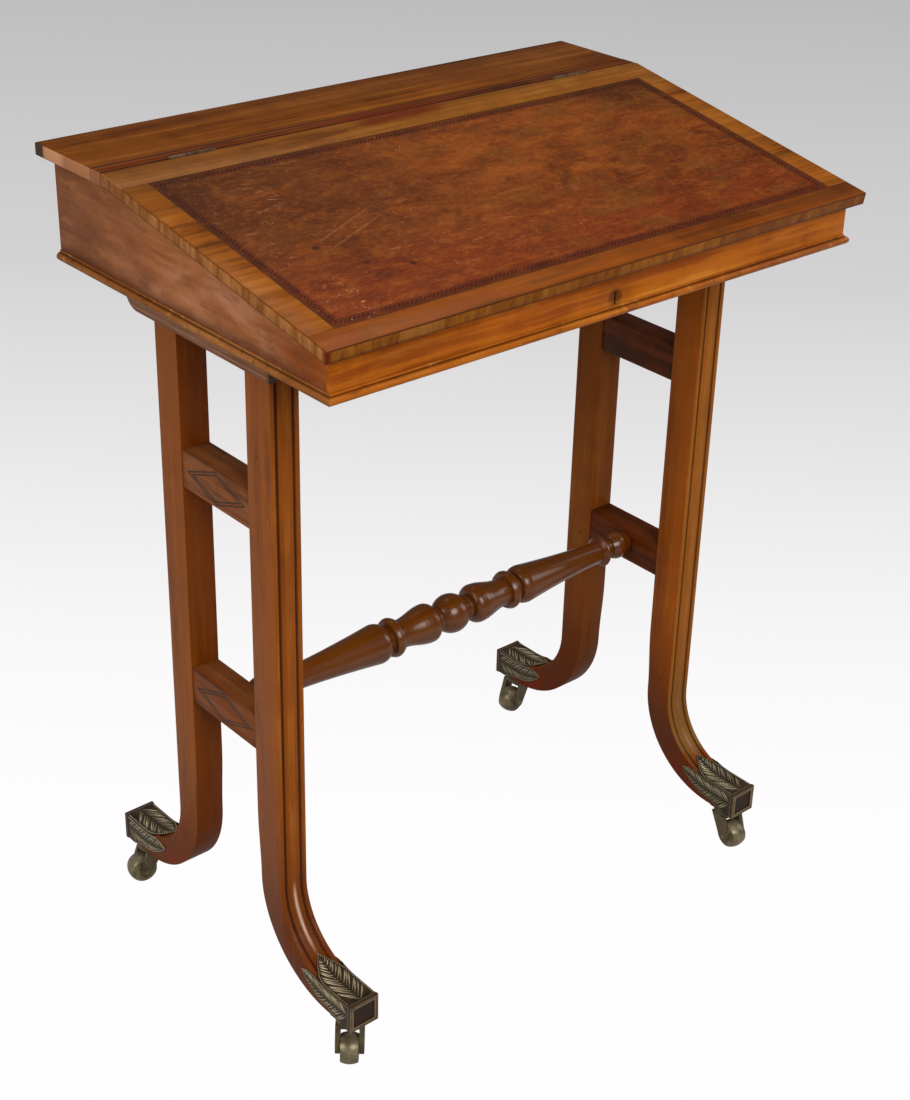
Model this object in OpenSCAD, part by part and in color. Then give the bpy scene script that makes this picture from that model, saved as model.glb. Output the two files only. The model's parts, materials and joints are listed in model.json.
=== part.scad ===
// Writing desk: a sloping-lid case on two trestles with swept toes and castors.
// Origin: middle of the whole desk in plan, on the floor. X runs along the width, -Y is the front.

/* [Top] */
// Width of the lid and the flat top board
top_w = 660; // [600:5:720]
// Depth from the lid's front edge to the back edge of the flat top
top_d = 440; // [420:1:470]
// Height of the flat top above the floor
desk_h = 843; // [820:1:900]
// Thickness of the lid and the flat top
top_t = 12; // [11:0.5:14]
// Depth of the fixed flat top board
board_d = 96.5; // [80:0.5:110]
// Depth of the hinge strip between the board and the lid
strip_d = 16; // [14:0.5:20]
// Depth of the flat land along the rear of the lid
land_d = 7.5; // [6:0.5:10]
// Fall of the lid from its land to its front edge
lid_fall = 58.5; // [48:0.5:66]
// Overhang of the top at each end of the case
side_overhang = 12; // [9:0.5:16]
// Overhang of the lid in front of the case
front_overhang = 13; // [9:0.5:16]
// Overhang of the top board behind the case
back_overhang = 12; // [8:0.5:16]
// Running gap between the lid and the hinge strip
lid_gap = 0.8; // [0.5:0.1:1.2]

/* [Lid] */
// Width of the crossbanding at each end of the lid
band_side_w = 27; // [22:0.5:32]
// Width of the crossbanding along the front
band_front_w = 26; // [22:0.5:32]
// Width of the crossbanding along the rear slope
band_rear_w = 28; // [22:0.5:32]
// Thickness of the crossbanding
band_t = 1.6; // [1.2:0.1:2]
// Thickness of the writing leather
leather_t = 1.2; // [0.8:0.1:1.2]

/* [Case] */
// Height of the case from its underside to the underside of the flat top
case_h = 100; // [90:1:110]
// Thickness of the side boards
side_t = 10; // [9:0.5:13]
// Thickness of the front board
front_t = 10; // [9.5:0.5:13]
// Thickness of the back board
back_t = 10; // [9:0.5:13]
// Thickness of the bottom board
bottom_t = 8; // [6:0.5:9]
// Overlap of the boards in their rebates
case_lap = 5; // [4:0.5:6]

/* [Base moulding] */
// Height of the moulding strip
mould_h = 10; // [9:0.5:12]
// Radius of its bead
bead_r = 4; // [3:0.1:4.4]
// Thickness of the strip behind the bead
mould_back_t = 1; // [0.6:0.1:1.6]

/* [Trestles] */
// Distance of each trestle's outer face from the end of the top
trestle_in = 39; // [30:1:70]
// Width of the legs and bearers, across the trestle
leg_w = 32; // [30:0.5:36]
// Depth of the straight part of a leg
leg_d = 36.5; // [35:0.5:40]
// Distance between the front and rear faces of a trestle's two posts
post_span = 181; // [170:1:190]
// Distance of the trestle's middle behind the middle of the top
trestle_back = 5; // [0:0.5:8]
// Height of the bearers
bearer_h = 32; // [28:0.5:36]
// Length of the bearer's tail behind the rear leg
bearer_tail = 47.5; // [40:0.5:52]
// Radius of the rounded end of the tail
bearer_nose_r = 20; // [12:0.5:24]
// Height of the rails
rail_h = 39; // [34:0.5:44]
// Set-back of the rails from the leg faces
rail_set = 1; // [0.5:0.1:2]
// Place of the upper rail's underside, as a share of the way from the sweep to the bearer
upper_rail_share = 0.713; // [0.66:0.001:0.76]
// Place of the lower rail's underside, as a share of the same way
lower_rail_share = 0.271; // [0.22:0.001:0.32]
// Thickness of the rail tenons
tenon_t = 10; // [8:0.5:12]
// Length of the rail and leg tenons
tenon_len = 18; // [14:0.5:22]

/* [Swept feet] */
// Reach of the toe in front of the post, with its cap
foot_reach = 112; // [108:0.5:116]
// Height of the wooden toe's underside above the floor
toe_z = 50; // [48:0.5:56]
// Thickness of the wooden toe
toe_t = 28.5; // [27:0.5:32]
// Radius of the hollow sweep above the toe
foot_r = 76; // [70:0.5:78]
// Width of the post where the sweep starts
heel_w = 33; // [30:0.5:34]

/* [Reeding] */
// Width of the bead at each edge of a reeded face
reed_bead_w = 5.6; // [4.6:0.1:6.4]
// Width of the grooves beside the middle reed
reed_groove_w = 2.2; // [1.6:0.1:2.8]
// Depth of the grooves
reed_groove_d = 2.4; // [1.6:0.1:3]
// Rise of the middle reed
reed_crown = 1.3; // [0.6:0.1:1.6]

/* [Stringing] */
// Length of the inlaid diamond
diamond_l = 95; // [80:1:100]
// Height of the inlaid diamond
diamond_h = 35; // [28:0.5:37]
// Width of each inlaid line
line_w = 1.2; // [0.9:0.1:1.6]
// Space between the two lines
line_gap = 1.8; // [1.2:0.1:2.4]
// Depth of the inlay
line_t = 0.8; // [0.5:0.1:1.2]

/* [Stretcher] */
// Largest radius of the turning
turn_r = 21.5; // [17:0.5:24]
// Height of the stretcher's axis above the lower rail's underside
stretcher_rise = 21; // [18:0.5:24]
// Radius of the stretcher's end tenons
turn_tenon_r = 8; // [6:0.5:9]
// Length of the stretcher's end tenons
turn_tenon_len = 16; // [12:0.5:20]

/* [Castors] */
// Wall of the toe caps
cap_t = 1; // [0.8:0.1:1.3]
// Thickness of the cap's end plate
cap_end_t = 2; // [1.6:0.1:2.4]
// Width of the raised rim round the cap's end
cap_rim_w = 4; // [3:0.1:4]
// Height of that rim above the cap's walls
cap_rim_t = 0.6; // [0.4:0.1:0.8]
// Depth of the panel sunk in the cap's end
cap_sink = 1; // [0.6:0.1:1.2]
// Distance of the swivel pin from the end of the cap
pivot_in = 22; // [20:0.5:24]
// Distance of the axle behind the swivel pin
trail = 12; // [10:0.5:13]
// Wheel radius
wheel_r = 16; // [14:0.5:16.5]
// Wheel width
wheel_w = 18; // [16:0.5:19]
// Rise of the wheel's tread from its edges to its middle
wheel_crown = 2; // [1:0.1:2.4]
// Axle radius
axle_r = 2.5; // [2:0.1:3]
// Thickness of the fork's cheeks
cheek_t = 5; // [4:0.1:5.5]
// Side clearance of the wheel in its fork
wheel_gap = 0.5; // [0.4:0.1:0.8]
// Radius of the swivel pin
pivot_r = 3.5; // [3:0.1:4]

/* [Hinges] */
// Length of a hinge
hinge_l = 50; // [42:1:56]
// Distance of each hinge's middle from the end of the top
hinge_in = 95; // [80:1:110]
// Radius of the hinge knuckles
knuckle_r = 2; // [1.8:0.1:2.4]
// Thickness of the hinge leaves
leaf_t = 1; // [0.8:0.1:1.2]
// Radius of the hinge pin
pin_r = 0.9; // [0.8:0.05:1]

/* [Lock] */
// Width of the lock body
lock_w = 56; // [50:1:64]
// Thickness of the lock body
lock_t = 7.4; // [7:0.1:7.5]
// Height of the keyhole
keyhole_h = 13; // [12:0.5:15]
// Radius of the keyhole's round head
keyhole_r = 2.1; // [1.8:0.1:2.4]
// Width of the keyhole's slot
keyhole_w = 2.8; // [2.4:0.1:3.2]
// Travel of the bolt
bolt_travel = 5; // [4:0.5:6]

/* [Hidden] */
$fn = 64;

// Overrun of cuts and the clearance of screws in their holes
over = 1;
screw_gap = 0.05;
run_gap = 0.06;

// Wood and metal colours
case_wood = [0.60, 0.32, 0.14];
front_wood = [0.68, 0.38, 0.14];
dark_wood = [0.42, 0.20, 0.10];
band_wood = [0.66, 0.38, 0.18];
leg_wood = [0.52, 0.27, 0.10];
inlay_wood = [0.16, 0.08, 0.05];
leather_brown = [0.47, 0.22, 0.17];
old_brass = [0.42, 0.36, 0.22];
bright_brass = [0.72, 0.60, 0.36];

// Places of the top
y_front = -top_d / 2;
y_back = top_d / 2;
y_board = y_back - board_d;
y_joint = y_board - strip_d;
y_break = y_joint - land_d;
y_lid = y_joint - lid_gap;
y_pivot = y_joint - lid_gap / 2;
z_flat = desk_h - top_t;
slope = atan(lid_fall / (y_break - y_front));
slope_l = (y_break - y_front) / cos(slope);

// Places of the case
case_x = top_w / 2 - side_overhang;
case_y0 = y_front + front_overhang;
case_y1 = y_back - back_overhang;
z_case = z_flat - case_h;
z_floor_top = z_case + bottom_t;

// Places of the foot, in its own outline: u runs forward from the post's face
toe_top = toe_z + toe_t;
foot_z = toe_top + foot_r;
heel_r = foot_r + toe_t;
heel_u = heel_r - heel_w;
wood_reach = foot_reach - cap_end_t;

// Places of the trestles
x_out = top_w / 2 - trestle_in;
x_mid = x_out - leg_w / 2;
x_in = x_out - leg_w;
y_post0 = trestle_back - post_span / 2;
y_post1 = trestle_back + post_span / 2;
z_leg = z_case - bearer_h;
upper_rail_z = foot_z + (z_leg - foot_z) * upper_rail_share;
lower_rail_z = foot_z + (z_leg - foot_z) * lower_rail_share;
rail_w = leg_w - 2 * rail_set;
rail_l = post_span - 2 * leg_d;
taper_share = 0.53;
z_taper = foot_z + (lower_rail_z - foot_z) * taper_share;
tenon_h_share = 0.66;

// Castor places
cap_bottom = toe_z - cap_t;
pivot_u = foot_reach - pivot_in;
fork_gap = 0.3;
fork_top = cap_bottom - fork_gap;
fork_w = wheel_w + 2 * wheel_gap + 2 * cheek_t;

// A point on the lid: s along the slope from its rear break, n above the top face
function lid_pt(s, n) = [y_break + s * cos(slope) - n * sin(slope),
    desk_h + s * sin(slope) + n * cos(slope)];
// The break line of a layer that lies n above the top face
function lid_bend(n) = lid_pt(n * tan(slope / 2), n);
// Height of the lid's underside at a place y in front of the break
function under_z(y) = lid_bend(-top_t)[1] - (lid_bend(-top_t)[0] - y) * tan(slope);

// An outline of y and z, drawn along the width from x0 to x1
module along_x(x0, x1) {
    translate([x0, 0, 0])
        rotate([90, 0, 90])
            linear_extrude(height = x1 - x0)
                children();
}

// Places something at both sides, mirrored
module both_sides() {
    children();
    mirror([1, 0, 0]) children();
}

// Case boards

// The side board's outline follows the lid's underside and then the flat top
module side_outline(y0, y1, z0) {
    polygon([[y0, z0], [y1, z0], [y1, z_flat], [lid_bend(-top_t)[0], z_flat], [y0, under_z(y0)]]);
}

module case_side() {
    color(case_wood)
        difference() {
            along_x(case_x - side_t, case_x)
                side_outline(case_y0 + front_t - case_lap, case_y1, z_case);
            // Rebate for the back board
            translate([case_x - side_t - over, case_y1 - back_t, z_case - over])
                cube([over + case_lap, back_t + over, case_h + 2 * over]);
            // Rebate for the bottom board
            translate([case_x - side_t - over, case_y0, z_case - over])
                cube([over + case_lap, top_d, over + bottom_t]);
        }
}

module keyhole_cut(y0, y1) {
    head_z = z_keyhole + keyhole_h - keyhole_r;
    translate([0, y0, head_z])
        rotate([-90, 0, 0])
            cylinder(r = keyhole_r, h = y1 - y0);
    translate([-keyhole_w / 2, y0, z_keyhole])
        cube([keyhole_w, y1 - y0, keyhole_h - keyhole_r]);
}

module case_front() {
    color(front_wood)
        difference() {
            along_x(-case_x, case_x)
                side_outline_front();
            // Rebates that take the side boards
            both_sides()
                translate([case_x - side_t, case_y0 + front_t - case_lap, z_case - over])
                    cube([side_t + over, case_lap + over, case_h]);
            // Rebate for the bottom board
            translate([-case_x - over, case_y0 + front_t - case_lap, z_case - over])
                cube([2 * case_x + 2 * over, case_lap + over, over + bottom_t]);
            lock_space();
            keyhole_cut(case_y0 - over, case_y0 + front_t);
            lock_screw_places() screw_cut();
        }
}

module side_outline_front() {
    y1 = case_y0 + front_t;
    polygon([[case_y0, z_case], [y1, z_case], [y1, under_z(y1)], [case_y0, under_z(case_y0)]]);
}

module case_back() {
    color(case_wood)
        difference() {
            translate([-case_x + side_t - case_lap, case_y1 - back_t, z_case])
                cube([2 * (case_x - side_t + case_lap), back_t, case_h]);
            translate([-case_x, case_y1 - back_t - over, z_case - over])
                cube([2 * case_x, over + case_lap, over + bottom_t]);
        }
}

module case_bottom() {
    y0 = case_y0 + front_t - case_lap;
    y1 = case_y1 - back_t + case_lap;
    x1 = case_x - side_t + case_lap;
    color(case_wood)
        difference() {
            translate([-x1, y0, z_case])
                cube([2 * x1, y1 - y0, bottom_t]);
            bearer_screw_places() screw_cut();
        }
}

module top_board() {
    color(dark_wood)
        translate([-top_w / 2, y_board, z_flat])
            cube([top_w, board_d, top_t]);
}

module hinge_strip() {
    color(dark_wood)
        difference() {
            translate([-top_w / 2, y_joint, z_flat])
                cube([top_w, strip_d, top_t]);
            hinge_recesses(y_joint - over, y_joint + leaf_t);
            both_sides() fixed_screw_row() screw_cut();
        }
}

// Base moulding: a bead below a small fillet, mitred at the front corners

module mould_section() {
    square([mould_back_t, mould_h]);
    intersection() {
        translate([mould_back_t, bead_r]) circle(r = bead_r);
        square([mould_back_t + bead_r, mould_h]);
    }
}

// A straight length of the moulding: outwards along +X, upwards along +Y, length along +Z
module mould_strip(l) {
    linear_extrude(height = l)
        mould_section();
}

mould_out = mould_back_t + bead_r;
mould_past = mould_out + over;

module moulding_front() {
    color(front_wood)
        intersection() {
            translate([-case_x - mould_past, case_y0, z_case])
                mirror([0, 1, 0])
                    rotate([90, 0, 90])
                        mould_strip(2 * (case_x + mould_past));
            // Plan with a mitre at each end
            translate([0, 0, z_case - over])
                linear_extrude(height = mould_h + 2 * over)
                    polygon([[-case_x, case_y0], [case_x, case_y0],
                        [case_x + mould_past, case_y0 - mould_past],
                        [-case_x - mould_past, case_y0 - mould_past]]);
        }
}

module moulding_side() {
    color(case_wood)
        intersection() {
            translate([case_x, case_y1, z_case])
                rotate([90, 0, 0])
                    mould_strip(case_y1 - case_y0 + mould_past);
            // Plan with a mitre at the front end
            translate([0, 0, z_case - over])
                linear_extrude(height = mould_h + 2 * over)
                    polygon([[case_x, case_y0], [case_x + mould_past, case_y0 - mould_past],
                        [case_x + mould_past, case_y1 + over], [case_x, case_y1 + over]]);
        }
}

// Lid

module lid_layer(s0, s1, n0, n1) {
    polygon([lid_pt(s0, n0), lid_pt(s1, n0), lid_pt(s1, n1), lid_pt(s0, n1)]);
}

// A layer that runs over the break onto the land
module lid_bent_layer(s0, n0, n1) {
    polygon([lid_pt(s0, n0), lid_bend(n0), [y_lid, desk_h + n0], [y_lid, desk_h + n1],
        lid_bend(n1), lid_pt(s0, n1)]);
}

module lid_panel() {
    color(dark_wood)
        difference() {
            along_x(-top_w / 2, top_w / 2)
                lid_bent_layer(-slope_l, -top_t, -band_t);
            hinge_recesses(y_lid - leaf_t, y_joint + over);
            both_sides() lid_screw_row() screw_cut();
            link_plate_block(over);
            link_screw_places() screw_cut();
        }
}

module lid_front_banding() {
    color(band_wood)
        along_x(-top_w / 2, top_w / 2)
            lid_layer(-slope_l, -slope_l + band_front_w, -band_t, 0);
}

module lid_rear_banding() {
    color(band_wood)
        difference() {
            along_x(-top_w / 2, top_w / 2)
                lid_bent_layer(-band_rear_w, -band_t, 0);
            hinge_recesses(y_lid - leaf_t, y_joint + over);
        }
}

module lid_side_banding() {
    color(band_wood)
        along_x(top_w / 2 - band_side_w, top_w / 2)
            lid_layer(-slope_l + band_front_w, -band_rear_w, -band_t, 0);
}

module writing_leather() {
    color(leather_brown)
        along_x(-top_w / 2 + band_side_w, top_w / 2 - band_side_w)
            lid_layer(-slope_l + band_front_w, -band_rear_w, -band_t, leather_t - band_t);
}

// Hinges: two leaves, five knuckles and a pin each

knuckles = 5;
knuckle_gap = 0.4;
leaf_inset = 1.5;
knuckle_room = 0.4;
hinge_x = top_w / 2 - hinge_in;
knuckle_l = (hinge_l - (knuckles - 1) * knuckle_gap) / knuckles;
z_leaf = z_flat + leaf_inset;

module hinge_places() {
    both_sides()
        translate([hinge_x, 0, 0])
            children();
}

// The wood that is cut away for the leaves and the knuckles
module hinge_recesses(y0, y1) {
    hinge_places() {
        translate([-hinge_l / 2, y0, z_leaf])
            cube([hinge_l, y1 - y0, desk_h - z_leaf + over]);
        translate([-hinge_l / 2, y_pivot, desk_h])
            rotate([0, 90, 0])
                cylinder(r = knuckle_r + knuckle_room, h = hinge_l);
    }
}

// The knuckles whose number is even or odd, grown by a clearance
module knuckle_set(first, grow, bore) {
    for (i = [first : 2 : knuckles - 1])
        translate([-hinge_l / 2 + i * (knuckle_l + knuckle_gap) - grow, y_pivot, desk_h])
            rotate([0, 90, 0])
                difference() {
                    cylinder(r = knuckle_r + grow, h = knuckle_l + 2 * grow);
                    if (bore > 0)
                        translate([0, 0, -over])
                            cylinder(r = bore, h = knuckle_l + 2 * over);
                }
}

module hinge_leaf(y0, first, bore) {
    color(bright_brass)
        translate([hinge_x, 0, 0]) {
            difference() {
                translate([-hinge_l / 2, y0, z_leaf])
                    cube([hinge_l, leaf_t, desk_h - z_leaf]);
                translate([-hinge_l / 2 - over, y_pivot, desk_h])
                    rotate([0, 90, 0])
                        cylinder(r = pin_r + run_gap, h = hinge_l + 2 * over);
                knuckle_set(1 - first, knuckle_gap, 0);
                translate([-hinge_x, 0, 0]) children();
            }
            knuckle_set(first, 0, bore);
        }
}

module fixed_leaf() {
    hinge_leaf(y_joint, 0, pin_r) fixed_screw_row() screw_cut();
}

module lid_leaf() {
    hinge_leaf(y_lid - leaf_t, 1, pin_r + run_gap) lid_screw_row() screw_cut();
}

module hinge_pin() {
    color(bright_brass)
        translate([hinge_x - hinge_l / 2, y_pivot, desk_h])
            rotate([0, 90, 0])
                cylinder(r = pin_r, h = hinge_l);
}

// Screws: a countersunk head and a plain shank, pointing down from the origin

head_r = 2.6;
shank_r = 1.3;
head_h = 1.4;
screw_l = 9;

module screw() {
    color(bright_brass) {
        translate([0, 0, -head_h])
            cylinder(r1 = shank_r, r2 = head_r, h = head_h);
        translate([0, 0, -screw_l])
            cylinder(r = shank_r, h = screw_l - head_h);
    }
}

module screw_cut() {
    translate([0, 0, -head_h])
        cylinder(r1 = shank_r + screw_gap, r2 = head_r + screw_gap, h = head_h);
    cylinder(r = head_r + screw_gap, h = over);
    translate([0, 0, -screw_l - screw_gap])
        cylinder(r = shank_r + screw_gap, h = screw_l);
}

// The bearer screws are the same shape at a larger size
bearer_screw_scale = 2.2;
bearer_screw_in = 38;
bearer_screw_y = [y_post0 + bearer_screw_in, y_post1 - bearer_screw_in];

module bearer_screw_places() {
    both_sides()
        for (y = bearer_screw_y)
            translate([x_mid, y, z_floor_top])
                scale(bearer_screw_scale)
                    children();
}

hinge_screw_share = 0.36;

// The right hinge's screws in one leaf, driven forwards or backwards from its face
module hinge_screw_row(face_y, turn) {
    z_row = (z_leaf + desk_h - knuckle_r - knuckle_room) / 2;
    for (i = [-1 : 1])
        translate([hinge_x + i * hinge_screw_share * hinge_l, face_y, z_row])
            rotate([turn, 0, 0])
                children();
}

module fixed_screw_row() {
    hinge_screw_row(y_joint, 90) children();
}

module lid_screw_row() {
    hinge_screw_row(y_lid, -90) children();
}

// Lock: the body is let into the back of the front board, and its bolt slides sideways

lock_y1 = case_y0 + front_t;
lock_y0 = lock_y1 - lock_t;
lock_mid_y = (lock_y0 + lock_y1) / 2;
lock_head_gap = 0.3;
lock_top = under_z(lock_y0) - lock_head_gap;
lock_base_gap = 1.5;
lock_base = z_floor_top + lock_base_gap;
keyhole_rise = 0.5;
z_keyhole = z_case + mould_h + keyhole_rise;
// Staples: two eyes under the lid that the bolt's prongs pass through
staple_t = 2;
staple_w = 4.4;
staple_foot_t = 1.4;
staple_room = 0.7;
eye_room = 0.4;
staple_xs = [-9, 5];
// Bolt: a bar with two prongs, each beside its staple when the lock is open
bolt_t = 1.6;
bolt_room = 0.3;
bolt_drop = 1;
prong_h = 2.5;
prong_l = bolt_travel + staple_room;
prong_clear = 3;
bolt_bar_h = 3;
bolt_h = prong_h + prong_clear + bolt_bar_h;
bolt_end_l = 3;
bolt_x0 = staple_xs[0] - staple_room - prong_l - bolt_end_l;
bolt_x1 = staple_xs[1] + staple_t + staple_room + bolt_end_l;
bolt_z1 = lock_top - bolt_drop;
// The staples lean with the lid, so each is moved to meet its prong squarely in the eye
eye_h = prong_h + 2 * eye_room;
eye_depth = under_z(lock_mid_y) - bolt_z1 + prong_h / 2;
staple_y = -eye_depth * sin(slope);
staple_l = eye_depth + eye_h / 2 + staple_foot_t;

module lock_space() {
    translate([-lock_w / 2, lock_y0, lock_base])
        cube([lock_w, lock_t + over, lock_top - lock_base + top_t]);
}

// The lid's own axes at the middle of the lock's top
module at_lock_top() {
    translate([0, lock_mid_y, under_z(lock_mid_y)])
        rotate([slope, 0, 0])
            children();
}

// The staples' blocks, grown by a clearance
module staples(room) {
    at_lock_top()
        for (x = staple_xs)
            translate([x - room, staple_y - staple_w / 2 - room, -staple_l - room])
                cube([staple_t + 2 * room, staple_w + 2 * room, staple_l + link_plate_t + 2 * room]);
}

module lock_body() {
    color(old_brass)
        difference() {
            translate([-lock_w / 2, lock_y0, lock_base])
                cube([lock_w, lock_t, lock_top - lock_base]);
            staples(staple_room);
            // Channel of the bolt
            translate([bolt_x0 - bolt_room, lock_mid_y - bolt_t / 2 - bolt_room, bolt_z1 - bolt_h - bolt_room])
                cube([bolt_x1 - bolt_x0 + bolt_travel + 2 * bolt_room, bolt_t + 2 * bolt_room,
                    bolt_h + 2 * bolt_room]);
            keyhole_cut(lock_y0 - over, lock_mid_y);
            lock_screw_places() screw_cut();
        }
}

module lock_bolt() {
    color(bright_brass)
        difference() {
            translate([bolt_x0, lock_mid_y - bolt_t / 2, bolt_z1 - bolt_h])
                cube([bolt_x1 - bolt_x0, bolt_t, bolt_h]);
            for (x = staple_xs) {
                // Gap that the staple drops into
                translate([x - staple_room, lock_mid_y - bolt_t, bolt_z1 - prong_h - prong_clear])
                    cube([staple_t + 2 * staple_room, 2 * bolt_t, prong_h + prong_clear + over]);
                // Space under the prong for the staple's foot
                translate([x - staple_room - prong_l, lock_mid_y - bolt_t, bolt_z1 - prong_h - prong_clear])
                    cube([prong_l + over, 2 * bolt_t, prong_clear]);
            }
        }
}

link_plate_w = 46;
link_plate_d = 7;
link_plate_t = 1.4;

// The plate, let into the lid's underside and drawn out below it by a further amount
module link_plate_block(below) {
    at_lock_top()
        translate([-link_plate_w / 2, -link_plate_d / 2, -below])
            cube([link_plate_w, link_plate_d, link_plate_t + below]);
}

module lock_link_plate() {
    color(old_brass)
        difference() {
            link_plate_block(0);
            staples(screw_gap);
            link_screw_places() screw_cut();
        }
}

// Two staples riveted through the plate, each with an eye for one of the bolt's prongs
module lock_staples() {
    color(old_brass)
        difference() {
            staples(0);
            translate([-lock_w / 2, lock_mid_y - bolt_t / 2 - eye_room, bolt_z1 - prong_h - eye_room])
                cube([lock_w, bolt_t + 2 * eye_room, eye_h]);
        }
}

link_screw_scale = 0.8;
link_screw_in = 5;

module link_screw_places() {
    at_lock_top()
        for (side = [-1, 1])
            translate([side * (link_plate_w / 2 - link_screw_in), 0, 0])
                rotate([180, 0, 0])
                    scale(link_screw_scale)
                        children();
}

lock_screw_in = 4;
lock_screw_scale = 0.7;

// The lock's screws run forwards into the front board
module lock_screw_places() {
    for (side = [-1, 1])
        for (z = [lock_base + lock_screw_in, lock_top - lock_screw_in])
            translate([side * (lock_w / 2 - lock_screw_in), lock_y1, z])
                rotate([-90, 0, 0])
                    scale(lock_screw_scale)
                        children();
}

// Trestles

// Outline of a leg seen from the side: u forward from the post's face, then height
module leg_outline() {
    bend_n = 12;
    difference() {
        union() {
            // Straight post that narrows a little towards the sweep
            polygon(concat(
                [[0, z_leg], [-leg_d, z_leg]],
                [for (i = [0 : bend_n])
                    let (t = i / bend_n)
                    [-leg_d + (leg_d - heel_w) * (1 - cos(180 * t)) / 2,
                        z_taper + (foot_z - z_taper) * t]],
                [[0, foot_z]]));
            // Round heel
            intersection() {
                translate([heel_u, foot_z]) circle(r = heel_r, $fn = 128);
                translate([-heel_w, toe_z]) square([heel_u + heel_w, heel_r]);
            }
            // Toe
            translate([heel_u, toe_z]) square([wood_reach - heel_u, toe_t + over]);
        }
        // Hollow sweep
        translate([foot_r, foot_z]) circle(r = foot_r, $fn = 128);
        translate([foot_r, toe_top]) square([foot_reach, heel_r]);
        translate([0, foot_z]) square([heel_r, foot_r]);
    }
}

// Half the moulded face, from the middle out: [x, depth below the face]
reed_half_w = leg_w / 2 - reed_bead_w - reed_groove_w;
reed_steps = 6;
function reed_points() = concat(
    [for (i = [0 : reed_steps])
        let (t = i / reed_steps) [t * reed_half_w, reed_crown * t * t]],
    [[reed_half_w, reed_groove_d], [reed_half_w + reed_groove_w, reed_groove_d]],
    [for (i = [0 : reed_steps])
        let (a = 180 * i / reed_steps)
        [leg_w / 2 - reed_bead_w / 2 * (1 + cos(a)), reed_bead_w / 2 * (1 - sin(a)) * bead_depth_share]]);
bead_depth_share = 0.7;

// The air in front of the moulded face, as an outline of depth and width
module reed_air() {
    pts = reed_points();
    all = concat([for (i = [len(pts) - 1 : -1 : 1]) [pts[i][1], -pts[i][0]]],
        [for (p = pts) [p[1], p[0]]]);
    polygon(concat([[-over, -leg_w / 2 - over], [bead_depth_share * reed_bead_w / 2, -leg_w / 2 - over]],
        all,
        [[bead_depth_share * reed_bead_w / 2, leg_w / 2 + over], [-over, leg_w / 2 + over]]));
}

// The same air swept down the post and round the hollow, as far as the toe cap
module reed_sweep() {
    // Down the post: depth runs backwards from the face
    translate([0, 0, foot_z])
        linear_extrude(height = z_leg - foot_z + over)
            mirror([1, 0, 0])
                reed_air();
    // Round the hollow
    translate([foot_r, 0, foot_z])
        rotate([90, 0, 0])
            rotate([0, 0, 180])
                rotate_extrude(angle = 90 - full_angle, $fn = 128)
                    translate([foot_r, 0, 0])
                        reed_air();
}

// A leg with its face towards -Y and its middle at x = 0
module leg_body() {
    difference() {
        rotate([0, 0, -90])
            translate([0, leg_w / 2, 0])
                rotate([90, 0, 0])
                    linear_extrude(height = leg_w)
                        leg_outline();
        rotate([0, 0, -90]) reed_sweep();
        // Mortises of the two rails
        for (z = [upper_rail_z, lower_rail_z])
            translate([-tenon_t / 2, leg_d - tenon_len, z + rail_h * (1 - tenon_h_share) / 2])
                cube([tenon_t, tenon_len + over, rail_h * tenon_h_share]);
        // Socket and pocket of the castor's swivel pin
        pivot_socket();
    }
    // Tenon into the bearer
    translate([-tenon_t / 2, (leg_d - leg_d * tenon_h_share) / 2, z_leg - over])
        cube([tenon_t, leg_d * tenon_h_share, tenon_len + over]);
}

// Places a foot's pieces at one of the four corners: front or rear, left or right
module corner(front, left) {
    mirror([left ? 0 : 1, 0, 0])
        translate([-x_mid, 0, 0])
            if (front)
                translate([0, y_post0, 0]) children();
            else
                translate([0, y_post1, 0]) mirror([0, 1, 0]) children();
}

module leg(front, left) {
    color(leg_wood)
        difference() {
            corner(front, left) leg_body();
            cap_pin_places() cap_pin_cut();
        }
}

module bearer(left) {
    color(case_wood)
        mirror([left ? 0 : 1, 0, 0])
            difference() {
                along_x(-x_out, -x_in)
                    bearer_outline();
                // Mortises of the two legs
                for (y = [y_post0, y_post1 - leg_d])
                    translate([-x_mid - tenon_t / 2, y + (leg_d - leg_d * tenon_h_share) / 2,
                        z_leg - over])
                        cube([tenon_t, leg_d * tenon_h_share, tenon_len + over]);
                mirror([left ? 0 : 1, 0, 0]) bearer_screw_places() screw_cut();
            }
}

// Square in front, with a quarter round under the tail
module bearer_outline() {
    y1 = y_post1 + bearer_tail;
    difference() {
        translate([y_post0, z_leg]) square([y1 - y_post0, bearer_h]);
        difference() {
            translate([y1 - bearer_nose_r, z_leg - over]) square([bearer_nose_r + over, bearer_nose_r + over]);
            translate([y1 - bearer_nose_r, z_leg + bearer_nose_r]) circle(r = bearer_nose_r);
        }
    }
}

module rail(z, left) {
    color(leg_wood)
        mirror([left ? 0 : 1, 0, 0])
            translate([-x_mid, y_post0 + leg_d, z])
                difference() {
                    union() {
                        translate([-rail_w / 2, 0, 0])
                            cube([rail_w, rail_l, rail_h]);
                        translate([-tenon_t / 2, -tenon_len, rail_h * (1 - tenon_h_share) / 2])
                            cube([tenon_t, rail_l + 2 * tenon_len, rail_h * tenon_h_share]);
                    }
                    translate([-rail_w / 2, rail_l / 2, rail_h / 2])
                        stringing_lines(over);
                    if (z == lower_rail_z)
                        translate([rail_w / 2 - turn_tenon_len, rail_l / 2, stretcher_rise])
                            rotate([0, 90, 0])
                                cylinder(r = turn_tenon_r, h = turn_tenon_len + over);
                }
}

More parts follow.
